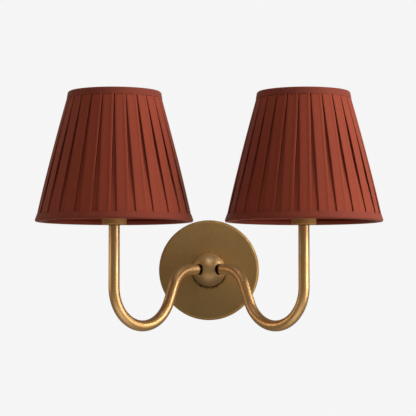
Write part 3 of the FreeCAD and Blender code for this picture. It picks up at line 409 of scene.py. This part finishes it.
def object_place(tree, centre=(0, 0, 0), turn=(0, 0, 0)):
    """Object coordinates, moved so that a centre is the origin, then turned."""
    source = tree.nodes.new("ShaderNodeTexCoord")
    move = tree.nodes.new("ShaderNodeMapping")
    move.inputs["Location"].default_value = [-c for c in centre]
    tree.links.new(source.outputs["Object"], move.inputs["Vector"])
    if not any(turn):
        return move.outputs["Vector"]
    spin = tree.nodes.new("ShaderNodeMapping")
    spin.inputs["Rotation"].default_value = [math.radians(angle) for angle in turn]
    tree.links.new(move.outputs["Vector"], spin.inputs["Vector"])
    return spin.outputs["Vector"]


def use_group(tree, group, **inputs):
    """A group node with its inputs set or linked; names have underscores for spaces."""
    node = tree.nodes.new("ShaderNodeGroup")
    node.node_tree = group
    for label, value in inputs.items():
        feed(tree, node.inputs[label.replace("_", " ")], value)
    return node


def mix_colours(tree, mask, low, high):
    """A colour between two, by a mask; each is a colour or another node's output."""
    node = tree.nodes.new("ShaderNodeMix")
    node.data_type = "RGBA"
    tree.links.new(mask, node.inputs["Factor"])
    feed(tree, node.inputs["A"], low)
    feed(tree, node.inputs["B"], high)
    return node.outputs["Result"]


def bump(tree, height, distance, strength):
    """A normal that rises and falls with a height, by at most a distance in metres."""
    node = tree.nodes.new("ShaderNodeBump")
    node.inputs["Strength"].default_value = strength
    node.inputs["Distance"].default_value = distance
    tree.links.new(height, node.inputs["Height"])
    return node.outputs["Normal"]


# %% Aged brass
# Painted shade: the dark tone laid round joints, and how wide its edge fades.
JOINT_SHADE_TONE = (0.045, 0.028, 0.014)
JOINT_SHADE_FADE = 0.0011
RIM_ROUGHNESS = 0.85
BALL = [(low + high) / 2 for low, high in zip(*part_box("hub_ball"))]
BALL_RADIUS = (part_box("hub_ball")[1][0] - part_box("hub_ball")[0][0]) / 2
TUBE_RADIUS = 0.00635
TUBE_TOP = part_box("arm_left")[1][2]
ROSE_RADIUS = (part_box("canopy")[1][0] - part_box("canopy")[0][0]) / 2


def aged_brass(name, dark, light, smooth, rough, lacquer=0.0, rim=None, joints=(),
               lines=0.000006, foot=None, fade=JOINT_SHADE_FADE):
    """Darkened brass, rubbed back, with a tarnished rim, and shade painted round joints and low down.
    """
    material, tree, shader = start_material(name)
    place = object_place(tree)
    patina = use_group(tree, blotches, Place=place, Patches_per_metre=22.0)
    colour = mix_colours(tree, patina.outputs["Mask"], dark, light)
    dullness = range_node(tree, patina.outputs["Mask"], 0.0, 1.0, rough, smooth)
    # Painted shade: below a height the colour darkens to the given tone.
    if foot:
        low, high, shade_and_tarnish_tone = foot
        split = tree.nodes.new("ShaderNodeSeparateXYZ")
        tree.links.new(place, split.inputs["Vector"])
        unshaded_share = range_node(tree, split.outputs["Z"], low, high)
        colour = mix_colours(tree, unshaded_share, shade_and_tarnish_tone, colour)
    if rim:
        radius, width, shade_and_tarnish_tone = rim
        facing = object_place(tree, turn=(90, 0, 0))
        edge = use_group(tree, rim_tarnish, Place=facing, Radius=radius, Width=width)
        colour = mix_colours(tree, edge.outputs["Mask"], colour, shade_and_tarnish_tone)
        dullness = range_node(tree, edge.outputs["Mask"], 0.0, 1.0, dullness, RIM_ROUGHNESS)
    # Painted shade round each joint: the colour darkens near the joint's centre.
    for centre, turn, flatten, reach in joints:
        near = mapped(tree, object_place(tree, centre, turn), flatten)
        shade_at_joint = use_group(tree, painted_joint_shade, Place=near, Reach=reach, Fade=fade)
        colour = mix_colours(tree, shade_at_joint.outputs["Mask"], colour, JOINT_SHADE_TONE)
    tree.links.new(colour, shader.inputs["Base Color"])
    tree.links.new(dullness, shader.inputs["Roughness"])
    shader.inputs["Metallic"].default_value = 1.0
    shader.inputs["Coat Weight"].default_value = lacquer
    shader.inputs["Coat Roughness"].default_value = 0.24
    scratches = use_group(tree, polish_lines, Place=place)
    tree.links.new(bump(tree, scratches.outputs["Height"], lines, 0.3), shader.inputs["Normal"])
    return material


# Painted shadow: a dark ring round the ball. Painted shade also darkens the rose towards its bottom.
rose_brass = aged_brass("rose_aged_brass", (0.63, 0.39, 0.15), (0.80, 0.515, 0.195), 0.42, 0.54,
                        rim=(ROSE_RADIUS, 0.0032, (0.46, 0.275, 0.095)),
                        joints=[((0, 0, BALL[2] - 0.0012), (0, 0, 0), (1, 0, 1), 0.0185)],
                        fade=0.005,
                        foot=(-1.3 * ROSE_RADIUS, 1.1 * ROSE_RADIUS, (0.36, 0.225, 0.085)))
# Painted shadow: a dark band at the tube's top under the cup, and painted shade on the tube inside
# the ball.
arm_brass = aged_brass("arm_aged_brass", (0.74, 0.42, 0.145), (0.84, 0.51, 0.20), 0.40, 0.48, 0.8,
                       joints=[((0, 0, TUBE_TOP), (0, 0, 0), (0, 0, 1), 0.0005),
                               (BALL, (0, 0, 0), (1, 1, 1), BALL_RADIUS + 0.0002)], lines=0.0000008)
# Painted shade: dark rings round both arm sockets, and the ball's lower half darkened towards the
# neck.
ball_brass = aged_brass("ball_aged_brass", (0.76, 0.47, 0.19), (0.92, 0.61, 0.27), 0.42, 0.54, 0.4,
                        joints=[(BALL, (0, 0, turn), (1, 0, 1), TUBE_RADIUS) for turn in (45, -45)],
                        foot=(BALL[2] - 0.016, BALL[2] + 0.006, (0.40, 0.24, 0.09)))
# Painted shade: the whole neck is dark, for the shade under the ball.
shaded_neck_brass = aged_brass("neck_brass_in_painted_shade", (0.20, 0.11, 0.04), (0.30, 0.17, 0.065), 0.36, 0.46)
cup_brass = aged_brass("cup_aged_brass", (0.60, 0.33, 0.125), (0.74, 0.43, 0.17), 0.72, 0.84)


# %% Plain metals of the parts inside
def plain_metal(name, dark, light, roughness, patches=60.0):
    """Turned or pressed metal that has only faint stains and fine tool lines."""
    material, tree, shader = start_material(name)
    place = object_place(tree)
    stains = use_group(tree, blotches, Place=place, Patches_per_metre=patches)
    lines = use_group(tree, polish_lines, Place=place)
    colour = mix_colours(tree, stains.outputs["Mask"], dark, light)
    tree.links.new(colour, shader.inputs["Base Color"])
    dullness = range_node(tree, stains.outputs["Mask"], 0.0, 1.0, roughness + 0.12, roughness)
    tree.links.new(dullness, shader.inputs["Roughness"])
    shader.inputs["Metallic"].default_value = 1.0
    tree.links.new(bump(tree, lines.outputs["Height"], 0.00001, 0.3), shader.inputs["Normal"])
    return material


bright_brass = plain_metal("bright_brass", (0.70, 0.52, 0.24), (0.82, 0.64, 0.33), 0.26)
zinc_steel = plain_metal("zinc_plated_steel", (0.50, 0.51, 0.50), (0.68, 0.69, 0.68), 0.34, 30.0)
nickel_cap = plain_metal("nickel_cap", (0.66, 0.65, 0.62), (0.80, 0.79, 0.76), 0.22, 90.0)
plated_shell = plain_metal("plated_screw_shell", (0.70, 0.66, 0.54), (0.82, 0.78, 0.66), 0.28, 90.0)

# %% [markdown]
# ## Ceramic, plastic, paint and glass
#
# The holder's body is glazed ceramic, the terminal block pale nylon, the leads have a dull cream
# sheath, and the shade's wires are dipped in white enamel. Glass needs only a clear body with a
# thin skin of dust and faint tint to read as a lamp.


# %% Dull materials
STAINS_PER_METRE = 80.0


def dull_material(name, low, high, roughness, grain, depth):
    """A material with no metal in it: stained colour and a fine raised grain."""
    material, tree, shader = start_material(name)
    place = object_place(tree)
    stains = use_group(tree, blotches, Place=place, Patches_per_metre=STAINS_PER_METRE)
    grains = noise_node(tree, place, grain, 3.0)
    colour = mix_colours(tree, stains.outputs["Mask"], low, high)
    tree.links.new(colour, shader.inputs["Base Color"])
    dullness = range_node(tree, stains.outputs["Speckle"], 0.0, 1.0, roughness, roughness + 0.1)
    tree.links.new(dullness, shader.inputs["Roughness"])
    tree.links.new(bump(tree, grains, depth, 0.5), shader.inputs["Normal"])
    return material


holder_ceramic = dull_material("holder_ceramic", (0.80, 0.78, 0.71), (0.90, 0.88, 0.82),
                               0.22, 1800, 0.00002)
block_nylon = dull_material("block_nylon", (0.70, 0.69, 0.64), (0.78, 0.77, 0.73),
                            0.38, 900, 0.00003)
lead_sheath = dull_material("lead_sheath", (0.78, 0.76, 0.69), (0.86, 0.84, 0.77),
                            0.5, 2200, 0.00006)
wire_enamel = dull_material("white_wire_enamel", (0.76, 0.75, 0.71), (0.86, 0.85, 0.82),
                            0.28, 700, 0.00004)
cap_insulator = dull_material("cap_insulator", (0.012, 0.012, 0.014), (0.03, 0.03, 0.035),
                              0.2, 900, 0.00002)


# %% Lamp glass and filament
def lamp_glass(name):
    """Clear glass, with a trace of dust in its roughness and its tint."""
    material, tree, shader = start_material(name)
    place = object_place(tree)
    dust = use_group(tree, blotches, Place=place, Patches_per_metre=45.0)
    dullness = range_node(tree, dust.outputs["Mask"], 0.0, 1.0, 0.015, 0.06)
    tree.links.new(dullness, shader.inputs["Roughness"])
    tint = mix_colours(tree, dust.outputs["Mask"], (1.0, 1.0, 1.0), (0.97, 0.975, 0.98))
    tree.links.new(tint, shader.inputs["Base Color"])
    shader.inputs["Transmission Weight"].default_value = 1.0
    shader.inputs["IOR"].default_value = 1.45
    return material


clear_glass = lamp_glass("lamp_glass")
filament_coat = dull_material("filament_phosphor", (0.80, 0.62, 0.20), (0.88, 0.72, 0.30),
                              0.55, 2600, 0.00005)

# %% [markdown]
# ## Finishing the drawn pieces
#
# A drawn piece keeps its mesh and only takes a finish: one material each, by its name. The list
# below reads like the maker's finishing sheet.

# %% Give each drawn piece its finish
finishes = {
    "canopy": rose_brass,
    "hub_ball": ball_brass,
    "hub_neck": shaded_neck_brass,
    "wall_bracket": zinc_steel,
    "canopy_screws": zinc_steel,
    "earth_screw": bright_brass,
    "terminal_block": block_nylon,
    "terminal_clamps": bright_brass,
    "terminal_screws": zinc_steel,
    "block_screws": zinc_steel,
    "hub_pipe": bright_brass,
    "hub_washer": zinc_steel,
    "hub_nut": bright_brass,
}
side_finishes = {
    "arm": arm_brass,
    "lead": lead_sheath,
    "holder_cup": cup_brass,
    "holder_pipe": bright_brass,
    "holder_nut": bright_brass,
    "holder_core": holder_ceramic,
    "screw_shell": plated_shell,
    "centre_contact": bright_brass,
    "holder_sleeve": bright_brass,
    "shade_ring": bright_brass,
    "bulb_cap": nickel_cap,
    "bulb_base": cap_insulator,
    "bulb_tip": bright_brass,
    "bulb_glass": clear_glass,
    "bulb_filament": filament_coat,
    "shade_fitter": wire_enamel,
    "top_wire": wire_enamel,
}
for piece, finish in side_finishes.items():
    for side in SIDES:
        finishes[f"{piece}_{side}"] = finish


def dress(piece, finish):
    """Leaves a piece with this one material."""
    piece.data.materials.clear()
    piece.data.materials.append(finish)


for name, finish in finishes.items():
    dress(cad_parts[name], finish)
print(len(finishes), "drawn pieces finished")

# %% [markdown]
# ## Cloth
#
# The shade is a matt terracotta cotton. Up close the threads show, over and under, with a slub here
# and there. The weave is drawn from each cloth's own flat coordinates, in metres, so that it runs
# round every fold as the real threads do.


# %% Terracotta cloth
def cloth_material(name, deep, pale, threads, turn=0.0, sheen=0.28, relief=0.00005):
    """Woven cloth. turn lays its threads on the slant, as on bias binding."""
    material, tree, shader = start_material(name)
    source = tree.nodes.new("ShaderNodeUVMap")
    source.uv_map = "cloth"
    lay = tree.nodes.new("ShaderNodeMapping")
    lay.inputs["Rotation"].default_value = (0, 0, math.radians(turn))
    tree.links.new(source.outputs["UV"], lay.inputs["Vector"])
    flat = lay.outputs["Vector"]
    threads_used = use_group(tree, weave, Flat_place=flat, Threads_per_metre=threads)
    fading = use_group(tree, blotches, Place=object_place(tree), Patches_per_metre=14.0)
    colour = mix_colours(tree, threads_used.outputs["Thread tone"], deep, pale)
    paler = tuple(min(1.0, c * 1.10) for c in pale)
    weak_fading = math_node(tree, "MULTIPLY", fading.outputs["Mask"], 0.25)
    slubs = math_node(tree, "MULTIPLY", threads_used.outputs["Slub"], 0.35)
    lighter = math_node(tree, "ADD", weak_fading, slubs, clamp=True)
    tree.links.new(mix_colours(tree, lighter, colour, paler), shader.inputs["Base Color"])
    shader.inputs["Roughness"].default_value = 0.8
    shader.inputs["Specular IOR Level"].default_value = 0.3
    shader.inputs["Sheen Weight"].default_value = sheen
    shader.inputs["Sheen Roughness"].default_value = 0.35
    shader.inputs["Sheen Tint"].default_value = (1.0, 0.76, 0.60, 1)
    tree.links.new(bump(tree, threads_used.outputs["Height"], relief, 0.6), shader.inputs["Normal"])
    return material


FINE_THREADS = 2600
TAPE_THREADS = 900
pleat_cloth = cloth_material("terracotta_pleat_cloth", (0.225, 0.029, 0.010),
                             (0.30, 0.044, 0.0145), FINE_THREADS)
tape_cloth = cloth_material("terracotta_bias_tape", (0.15, 0.023, 0.010), (0.26, 0.042, 0.018),
                            TAPE_THREADS, turn=45.0, relief=0.00014)
foot_cloth = cloth_material("terracotta_foot_binding", (0.185, 0.026, 0.011),
                            (0.255, 0.040, 0.016), FINE_THREADS)
# The lining is paler than the outer cloth, partly its own tone and partly painted light, for light
# coming through the shade's cloth.
lining_cloth = cloth_material("terracotta_lining", (0.34, 0.046, 0.02), (0.43, 0.064, 0.028),
                              FINE_THREADS, sheen=0.05)

# %% [markdown]
# ## The shade's cone
#
# Every cloth hangs on the same cone, measured here from the drawn tapes: the lower tape's lowest
# edge is the widest, and the upper tape's lower edge gives the slope. All the cloths are made round
# an upright axis at the origin and then moved to their holder, so one recipe serves both sides.

# %% Measure the cone
low_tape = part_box("bottom_tape_left")
high_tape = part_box("top_tape_left")
TOP_TAPE = high_tape[1][2] - high_tape[0][2]
BOTTOM_TAPE = low_tape[1][2] - low_tape[0][2]
RIM_HEIGHT = low_tape[0][2]
SHADE_HEIGHT = high_tape[1][2] - RIM_HEIGHT
FOOT_RADIUS = (low_tape[1][0] - low_tape[0][0]) / 2
NECK_RADIUS = (high_tape[1][0] - high_tape[0][0]) / 2
SLOPE = (FOOT_RADIUS - NECK_RADIUS) / (SHADE_HEIGHT - TOP_TAPE)
SLANT = math.hypot(1, SLOPE)


def holder_axis(side):
    """The upright axis of a holder, from the middle of its shade ring."""
    low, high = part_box(f"shade_ring_{side}")
    return Vector(((low[0] + high[0]) / 2, (low[1] + high[1]) / 2, RIM_HEIGHT))


def cone(height, inset=0.0):
    """The shade's radius at a height above its rim, less an inset."""
    return FOOT_RADIUS - SLOPE * height - inset


print("rim at", round(RIM_HEIGHT, 4), "height", round(SHADE_HEIGHT, 4),
      "radii", round(FOOT_RADIUS, 4), "and", round(cone(SHADE_HEIGHT), 4))

# %% [markdown]
# ## Pleats
#
# A box pleat is two folds back to back: the cloth runs flat over the panel, rolls over its edge,
# goes back underneath, turns again and comes out as the floor of the gap. The gaps are shut at the
# top, where the circle is small, and open towards the foot. The cloth itself is a straight strip,
# so as a gap opens, less cloth is left tucked under the panels.
#
# A simulation would have to fold twenty-six stiff pleats over each other, and would be hard to
# steer to their places. Folding by rule puts each fold where it belongs, so a fine grid is laid
# flat, as the cut cloth is, and each of its columns is carried to its place in the fold.

# %% The pleats' sizes
PLEATS = 26
CLOTH = 0.40 * MM
GAP_TOP = 0.8 * MM
GAP_FOOT = 8.7 * MM
ROLL = 0.80 * MM
ROLL_WIDTH = 1.3 * MM
TUCK_TOP = 4.3 * MM
FLOOR_DEPTH = 3.0 * MM
COVER_INSET = 0.95 * MM
BOW = 1.2 * MM
RIDGE = 0.34 * MM
COVER_LOW = 0.95 * MM
COVER_HIGH = SHADE_HEIGHT - 0.95 * MM
ROWS = 26
FIRST_GAP = {"left": -4.3, "right": -1.7}
PANEL_SHARES = (0, 0.2, 0.36, 0.46, 0.56, 0.68, 0.84)
ROLL_STEPS = 5
TURN_STEPS = 3


# %% One pleat, seen from above
def blend_between(low, high, value):
    """0 below low, 1 above high, and a smooth step between."""
    step = min(1.0, max(0.0, (value - low) / (high - low)))
    return step * step * (3 - 2 * step)


def gap_width(height):
    """How wide the gaps are at a height above the rim."""
    share = min(1.0, max(0.0, height / SHADE_HEIGHT))
    return GAP_FOOT + (GAP_TOP - GAP_FOOT) * share


def half_pleat(half_panel, half_gap, tuck, roll, floor):
    """From the middle of a panel to the middle of the next gap: (sideways, depth) pairs."""
    under = CLOTH / 2 + 2 * roll
    path = [(half_panel * share, CLOTH / 2) for share in PANEL_SHARES]
    for step in range(ROLL_STEPS + 1):
        angle = math.pi * step / ROLL_STEPS
        width = ROLL_WIDTH if angle < math.pi / 2 else roll
        sideways = half_panel - width * (1 - math.sin(angle))
        path.append((sideways, CLOTH / 2 + roll * (1 - math.cos(angle))))
    path.append((half_panel - tuck / 2, under))
    turn_radius = (floor - under) / 2
    for step in range(TURN_STEPS + 1):
        angle = math.pi * step / TURN_STEPS
        sideways = half_panel - tuck - turn_radius * math.sin(angle)
        path.append((sideways, under + turn_radius * (1 - math.cos(angle))))
    path.append((half_panel - tuck * 0.4, floor))
    path.append((half_panel + half_gap * 0.3, floor))
    path.append((half_panel + half_gap, floor))
    return path


# %% [markdown]
# A row of the cloth is one path of twenty-six pleats. Real pleats are never quite alike, so each
# one's gap, place and depth drift by a fraction of a millimetre, from a noise that gives the same
# answer at every run. The right part of each panel lies over its own tuck and stands a little
# proud, which is the faint upright shadow seen on every panel.

# %% One row of the pleated cloth
GAP_DRIFT = 0.5 * MM
SIDEWAYS_DRIFT = 0.35 * MM
DEPTH_DRIFT = 0.25 * MM
LEAST_GAP = 0.5 * MM
LEFT_RIDGE = 0.10 * MM
PRESSED_BELOW = 4 * MM
FREE_ABOVE = 70 * MM
PRESSED_ROLL = 0.6
PRESSED_DEPTH = 0.46


def drift(pleat, height, kind, amount):
    """A small steady wander of one pleat along its height."""
    where = Vector((pleat * 3.7 + kind * 11.3, height * 14.0, kind * 5.1))
    return amount * noise.noise(where)


def pleated_row(height, seed):
    """The cloth's middle line at one height: (angle, radius) pairs right round the shade."""
    share = min(1.0, max(0.0, height / SHADE_HEIGHT))
    radius = cone(height, COVER_INSET) + BOW * math.sin(math.pi * share) ** 0.8
    period = 2 * math.pi * radius / PLEATS
    row = []
    for pleat in range(PLEATS):
        number = pleat + seed
        loose = blend_between(0.9, 0.3, share)
        gap = gap_width(height) + drift(number, height, 1, GAP_DRIFT) * loose
        gap = max(gap, LEAST_GAP)
        tuck = TUCK_TOP - (gap - GAP_TOP) / 4
        free = blend_between(PRESSED_BELOW, FREE_ABOVE, height)
        roll = ROLL * (PRESSED_ROLL + (1 - PRESSED_ROLL) * free)
        depth = FLOOR_DEPTH * (PRESSED_DEPTH + (1 - PRESSED_DEPTH) * free)
        sway = drift(number, height, 2, SIDEWAYS_DRIFT)
        lift = drift(number, height, 3, DEPTH_DRIFT)
        half_panel = (period - gap) / 2
        right = half_pleat(half_panel, gap / 2, tuck, roll, depth)
        left = [(-sideways, down) for sideways, down in reversed(right)]
        for sideways, down in left[:-1] + right[:-1]:
            across = sideways / half_panel
            proud = 0.0
            if down < CLOTH * 1.2 and abs(across) <= 1:
                flatness = sideways * sideways / (2 * radius)
                ridge = RIDGE * blend_between(0.34, 0.70, across)
                ridge += LEFT_RIDGE * blend_between(-0.5, -0.8, across)
                proud = flatness + ridge + lift
            elif down < CLOTH + 2 * roll:
                proud = half_panel * half_panel / (2 * radius) + lift + RIDGE
            angle = 2 * math.pi * (pleat + 0.5) / PLEATS + (sideways + sway) / radius
            row.append((angle, radius - down + proud))
    return row


COLUMNS = len(pleated_row(0, 0))
print(COLUMNS, "columns of cloth,", COLUMNS // PLEATS, "in each pleat")


# %% Fold the flat cloth into its pleats
def shape_rows():
    """Heights of the rows: close together near both ends, where the cloth bends most."""
    ends = [0.0, 0.012, 0.03, 0.05, 0.075, 0.105]
    middle_steps = ROWS - 2 * (len(ends) - 1)
    span = 1 - 2 * ends[-1]
    middle = [ends[-1] + span * step / middle_steps for step in range(1, middle_steps)]
    shares = ends + middle + [1 - share for share in reversed(ends)]
    return [COVER_LOW + (COVER_HIGH - COVER_LOW) * share for share in shares]


JOIN_WITHIN = 1e-6
CREASE_ANGLE = 50


def close_cloth(piece, thickness):
    """Joins the edges that meet, gives the cloth its thickness and smooths it."""
    bpy.ops.object.mode_set(mode="EDIT")
    bpy.ops.mesh.select_all(action="SELECT")
    bpy.ops.mesh.remove_doubles(threshold=JOIN_WITHIN)
    bpy.ops.mesh.normals_make_consistent(inside=False)
    bpy.ops.object.mode_set(mode="OBJECT")
    wall = piece.modifiers.new("cloth_thickness", "SOLIDIFY")
    wall.thickness = thickness
    wall.offset = 0
    bpy.ops.object.modifier_apply(modifier=wall.name)
    bpy.ops.object.shade_smooth_by_angle(angle=math.radians(CREASE_ANGLE))


SEED_STEP = 40


def row_lengths(row):
    """How far along the cloth each column of a closed row lies, from its first column."""
    run = [0.0]
    for (angle, radius), (next_angle, next_radius) in zip(row, row[1:] + row[:1]):
        turned = (next_angle - angle + math.pi) % (2 * math.pi) - math.pi
        run.append(run[-1] + math.hypot(radius - next_radius, turned * radius))
    return run


def make_cover(side):
    """The pleated cloth of one shade, and the size of the flat strip that it was folded from."""
    heights = shape_rows()
    rows = len(heights) - 1
    deselect()
    bpy.ops.mesh.primitive_grid_add(x_subdivisions=COLUMNS, y_subdivisions=rows, size=1)
    cover = bpy.context.object
    cover.name = f"pleated_cloth_{side}"
    seed = SEED_STEP * SIDES.index(side)
    turn = math.radians(FIRST_GAP[side])
    axis = holder_axis(side)
    folded = [pleated_row(height, seed) for height in heights]
    lengths = [row_lengths(row) for row in folded]
    grid_places = {}
    for vertex in cover.data.vertices:
        column = round((vertex.co.x + 0.5) * COLUMNS)
        level = round((vertex.co.y + 0.5) * rows)
        grid_places[vertex.index] = (column, level)
        angle, radius = folded[level][column % COLUMNS]
        angle += turn
        across, back = radius * math.cos(angle), radius * math.sin(angle)
        vertex.co = axis + Vector((across, back, heights[level]))
    cloth_map = cover.data.uv_layers[0]
    cloth_map.name = "cloth"
    for loop in cover.data.loops:
        column, level = grid_places[loop.vertex_index]
        cloth_map.data[loop.index].uv = (lengths[level][column], heights[level] * SLANT)
    cut = (max(run[-1] for run in lengths), (heights[-1] - heights[0]) * SLANT)
    close_cloth(cover, CLOTH)
    dress(cover, pleat_cloth)
    faces = len(cover.data.polygons)
    print(cover.name, "cut to", [round(x, 3) for x in cut], "has", faces, "faces")
    return cover, cut


for side in SIDES:
    cover, cut = make_cover(side)
    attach(cover, f"shade_{side}")
    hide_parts(f"pleated_cover_{side}")

# %% [markdown]
# ## Bands of cloth round the shade
#
# The lining and the two bindings are bands: a ring of cloth whose cross-section bends over a wire.
# Each starts as a bare circle. Its edge is extruded, widened or narrowed, and moved, once for each
# point of the cross-section, as a potter builds up a wall ring by ring.


# %% Draw out a band
BAND_STEPS = 200


def draw_band(name, section):
    """A band from (radius, height) pairs, made by drawing a circle out ring by ring."""
    deselect()
    radius, height = section[0]
    bpy.ops.mesh.primitive_circle_add(vertices=BAND_STEPS, radius=radius, location=(0, 0, height))
    band = bpy.context.object
    band.name = name
    bpy.ops.object.transform_apply(location=True, rotation=True, scale=True)
    bpy.ops.object.mode_set(mode="EDIT")
    bpy.ops.mesh.select_all(action="SELECT")
    for next_radius, next_height in section[1:]:
        wider = next_radius / radius
        bpy.ops.mesh.extrude_edges_move()
        bpy.ops.transform.resize(value=(wider, wider, 1), center_override=(0, 0, 0))
        bpy.ops.transform.translate(value=(0, 0, next_height - height))
        radius, height = next_radius, next_height
    bpy.ops.object.mode_set(mode="OBJECT")
    return band


def lay_cloth_map(piece, section):
    """A flat map of a band in metres: round the shade, and along its cross-section."""
    travelled = [0.0]
    for (radius, height), (next_radius, next_height) in zip(section, section[1:]):
        run = math.hypot(next_radius - radius, next_height - height)
        travelled.append(travelled[-1] + run)
    middle = sum(radius for radius, _ in section) / len(section)
    cloth_map = piece.data.uv_layers.new(name="cloth")
    for face in piece.data.polygons:
        angles = []
        for index in face.vertices:
            co = piece.data.vertices[index].co
            angles.append(math.atan2(co.y, co.x))
        crossing = max(angles) - min(angles) > math.pi
        for loop, index, angle in zip(face.loop_indices, face.vertices, angles):
            if crossing and angle < 0:
                angle += 2 * math.pi
            ring = index // BAND_STEPS
            cloth_map.data[loop].uv = (angle * middle, travelled[ring])
    return 2 * math.pi * middle, travelled[-1]


def push_out(co, radius, move):
    """Moves a point that is a radius from the upright axis straight outwards."""
    co.x *= (radius + move) / radius
    co.y *= (radius + move) / radius


# %% [markdown]
# ## Bindings
#
# The top binding is a narrow bias strip: it lies on the outside of the cloth, rolls over the top
# wire and is turned in behind it, so its shoulders are round. The bottom binding is as deep but
# smooth, and its upper edge presses into the gaps between the panels.

# %% Make the bindings
BINDING = 0.55 * MM
TURN_IN = 4.0 * MM
TURNED_INSET = 8.3 * MM
SHOULDER = 1.9 * MM
FLARE = 0.6 * MM
FLARE_REACH = 3.2 * MM
OUTSIDE_SHARES = (1, 0.96, 0.8, 0.6, 0.4)
OUTER_BEND = (0, 18, 36, 54, 72, 90)
INNER_BEND = (90, 66, 42, 18, 0)


def binding_section(rim, depth, up):
    """The cross-section of a binding: outside edge, over the rim, and turned in."""
    def at(height, inset):
        """The point at a height from the rim and an inset from the cone."""
        level = rim + up * height
        flare = FLARE * (1 - min(1.0, height / depth)) if inset < FLARE_REACH else 0
        return cone(level, inset) + flare, level

    def bend(degrees, inset, way):
        """A point on the round shoulder that starts at an inset."""
        angle = math.radians(degrees)
        height = SHOULDER - SHOULDER * math.sin(angle) + BINDING / 2
        return at(height, inset + way * SHOULDER * (1 - math.cos(angle)))

    outside = BINDING / 2
    section = [at(depth * share, outside) for share in OUTSIDE_SHARES]
    section += [bend(degrees, outside, 1) for degrees in OUTER_BEND]
    section += [bend(degrees, TURNED_INSET, -1) for degrees in INNER_BEND]
    return section + [at(TURN_IN, TURNED_INSET)]


OUTER_FACE = 1.2 * MM
WANDER = 0.12 * MM
LAP_STEP = 0.45 * MM
LAP_REACH = 4 * MM
LAP_END = 4.8 * MM
SINK = {"top": 0.12 * MM, "bottom": 0.45 * MM}


def press_binding(band, rim, depth, up, sink, side):
    """Presses a binding's free edge into the gaps, and gives it a slight wander."""
    for vertex in band.data.vertices:
        co = vertex.co
        radius = math.hypot(co.x, co.y)
        angle = math.atan2(co.y, co.x)
        height = up * (co.z - rim)
        outer = radius > cone(co.z, OUTER_FACE)
        near_edge = blend_between(0.35 * depth, depth, height)
        gaps = 0.5 + 0.5 * math.cos(PLEATS * (angle - math.radians(FIRST_GAP[side])))
        around = Vector((math.cos(angle) * 3, math.sin(angle) * 3, rim * 40))
        wander = noise.noise(around) * WANDER
        from_seam = abs(angle - math.pi / 2) * radius
        lap = LAP_STEP * (1 - blend_between(LAP_REACH, LAP_END, from_seam))
        pressed = lap - sink * gaps ** 2 * near_edge if outer else 0
        push_out(co, radius, wander + pressed)


def make_binding(side, end):
    """The binding at one end of a shade, and the flat size it was cut to."""
    rim, depth, up = {
        "top": (SHADE_HEIGHT, TOP_TAPE, -1),
        "bottom": (0.0, BOTTOM_TAPE, 1),
    }[end]
    section = binding_section(rim, depth, up)
    binding = draw_band(f"{end}_binding_{side}", section)
    cut = lay_cloth_map(binding, section)
    press_binding(binding, rim, depth, up, SINK[end], side)
    binding.data.transform(Matrix.Translation(holder_axis(side)))
    close_cloth(binding, BINDING)
    dress(binding, tape_cloth if end == "top" else foot_cloth)
    print(binding.name, "cut to", [round(x, 3) for x in cut])
    return binding, cut


for side in SIDES:
    for end in ("top", "bottom"):
        binding, cut = make_binding(side, end)
        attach(binding, f"shade_{side}")
        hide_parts(f"{end}_tape_{side}")

# %% [markdown]
# ## Lining
#
# The lining is a smooth cone of a like cloth, stretched from wire to wire inside the pleats. It
# has one lapped seam, at the back, and puckers very slightly where it is caught at each end.

# %% Make the lining
LINING_INSET = 4.5 * MM
LINING = 0.4 * MM
LINING_STEPS = 16
PUCKER = 0.22 * MM
PUCKER_REACH = 18 * MM
SEAM_LAP = 7 * MM
SEAM_STEP = 0.35 * MM


def make_lining(side):
    """The lining of one shade, and the flat size it was cut to."""
    climb = (COVER_HIGH - COVER_LOW) / LINING_STEPS
    heights = [COVER_LOW + climb * step for step in range(LINING_STEPS + 1)]
    section = [(cone(height, LINING_INSET), height) for height in heights]
    lining = draw_band(f"shade_lining_cloth_{side}", section)
    cut = lay_cloth_map(lining, section)
    for vertex in lining.data.vertices:
        co = vertex.co
        radius = math.hypot(co.x, co.y)
        angle = math.atan2(co.y, co.x)
        from_foot = blend_between(0, PUCKER_REACH, co.z)
        from_top = blend_between(0, PUCKER_REACH, SHADE_HEIGHT - co.z)
        around = Vector((math.cos(angle) * 14, math.sin(angle) * 14, 2.0))
        pucker = PUCKER * (1 - from_foot * from_top) * noise.noise(around)
        from_seam = abs(angle - math.pi / 2) * radius
        lap = -SEAM_STEP * (1 - blend_between(0.45 * SEAM_LAP, 0.55 * SEAM_LAP, from_seam))
        push_out(co, radius, pucker + lap)
    lining.data.transform(Matrix.Translation(holder_axis(side)))
    close_cloth(lining, LINING)
    dress(lining, lining_cloth)
    print(lining.name, "cut to", [round(x, 3) for x in cut])
    return lining, cut


for side in SIDES:
    lining, cut = make_lining(side)
    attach(lining, f"shade_{side}")
    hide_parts(f"shade_lining_{side}")
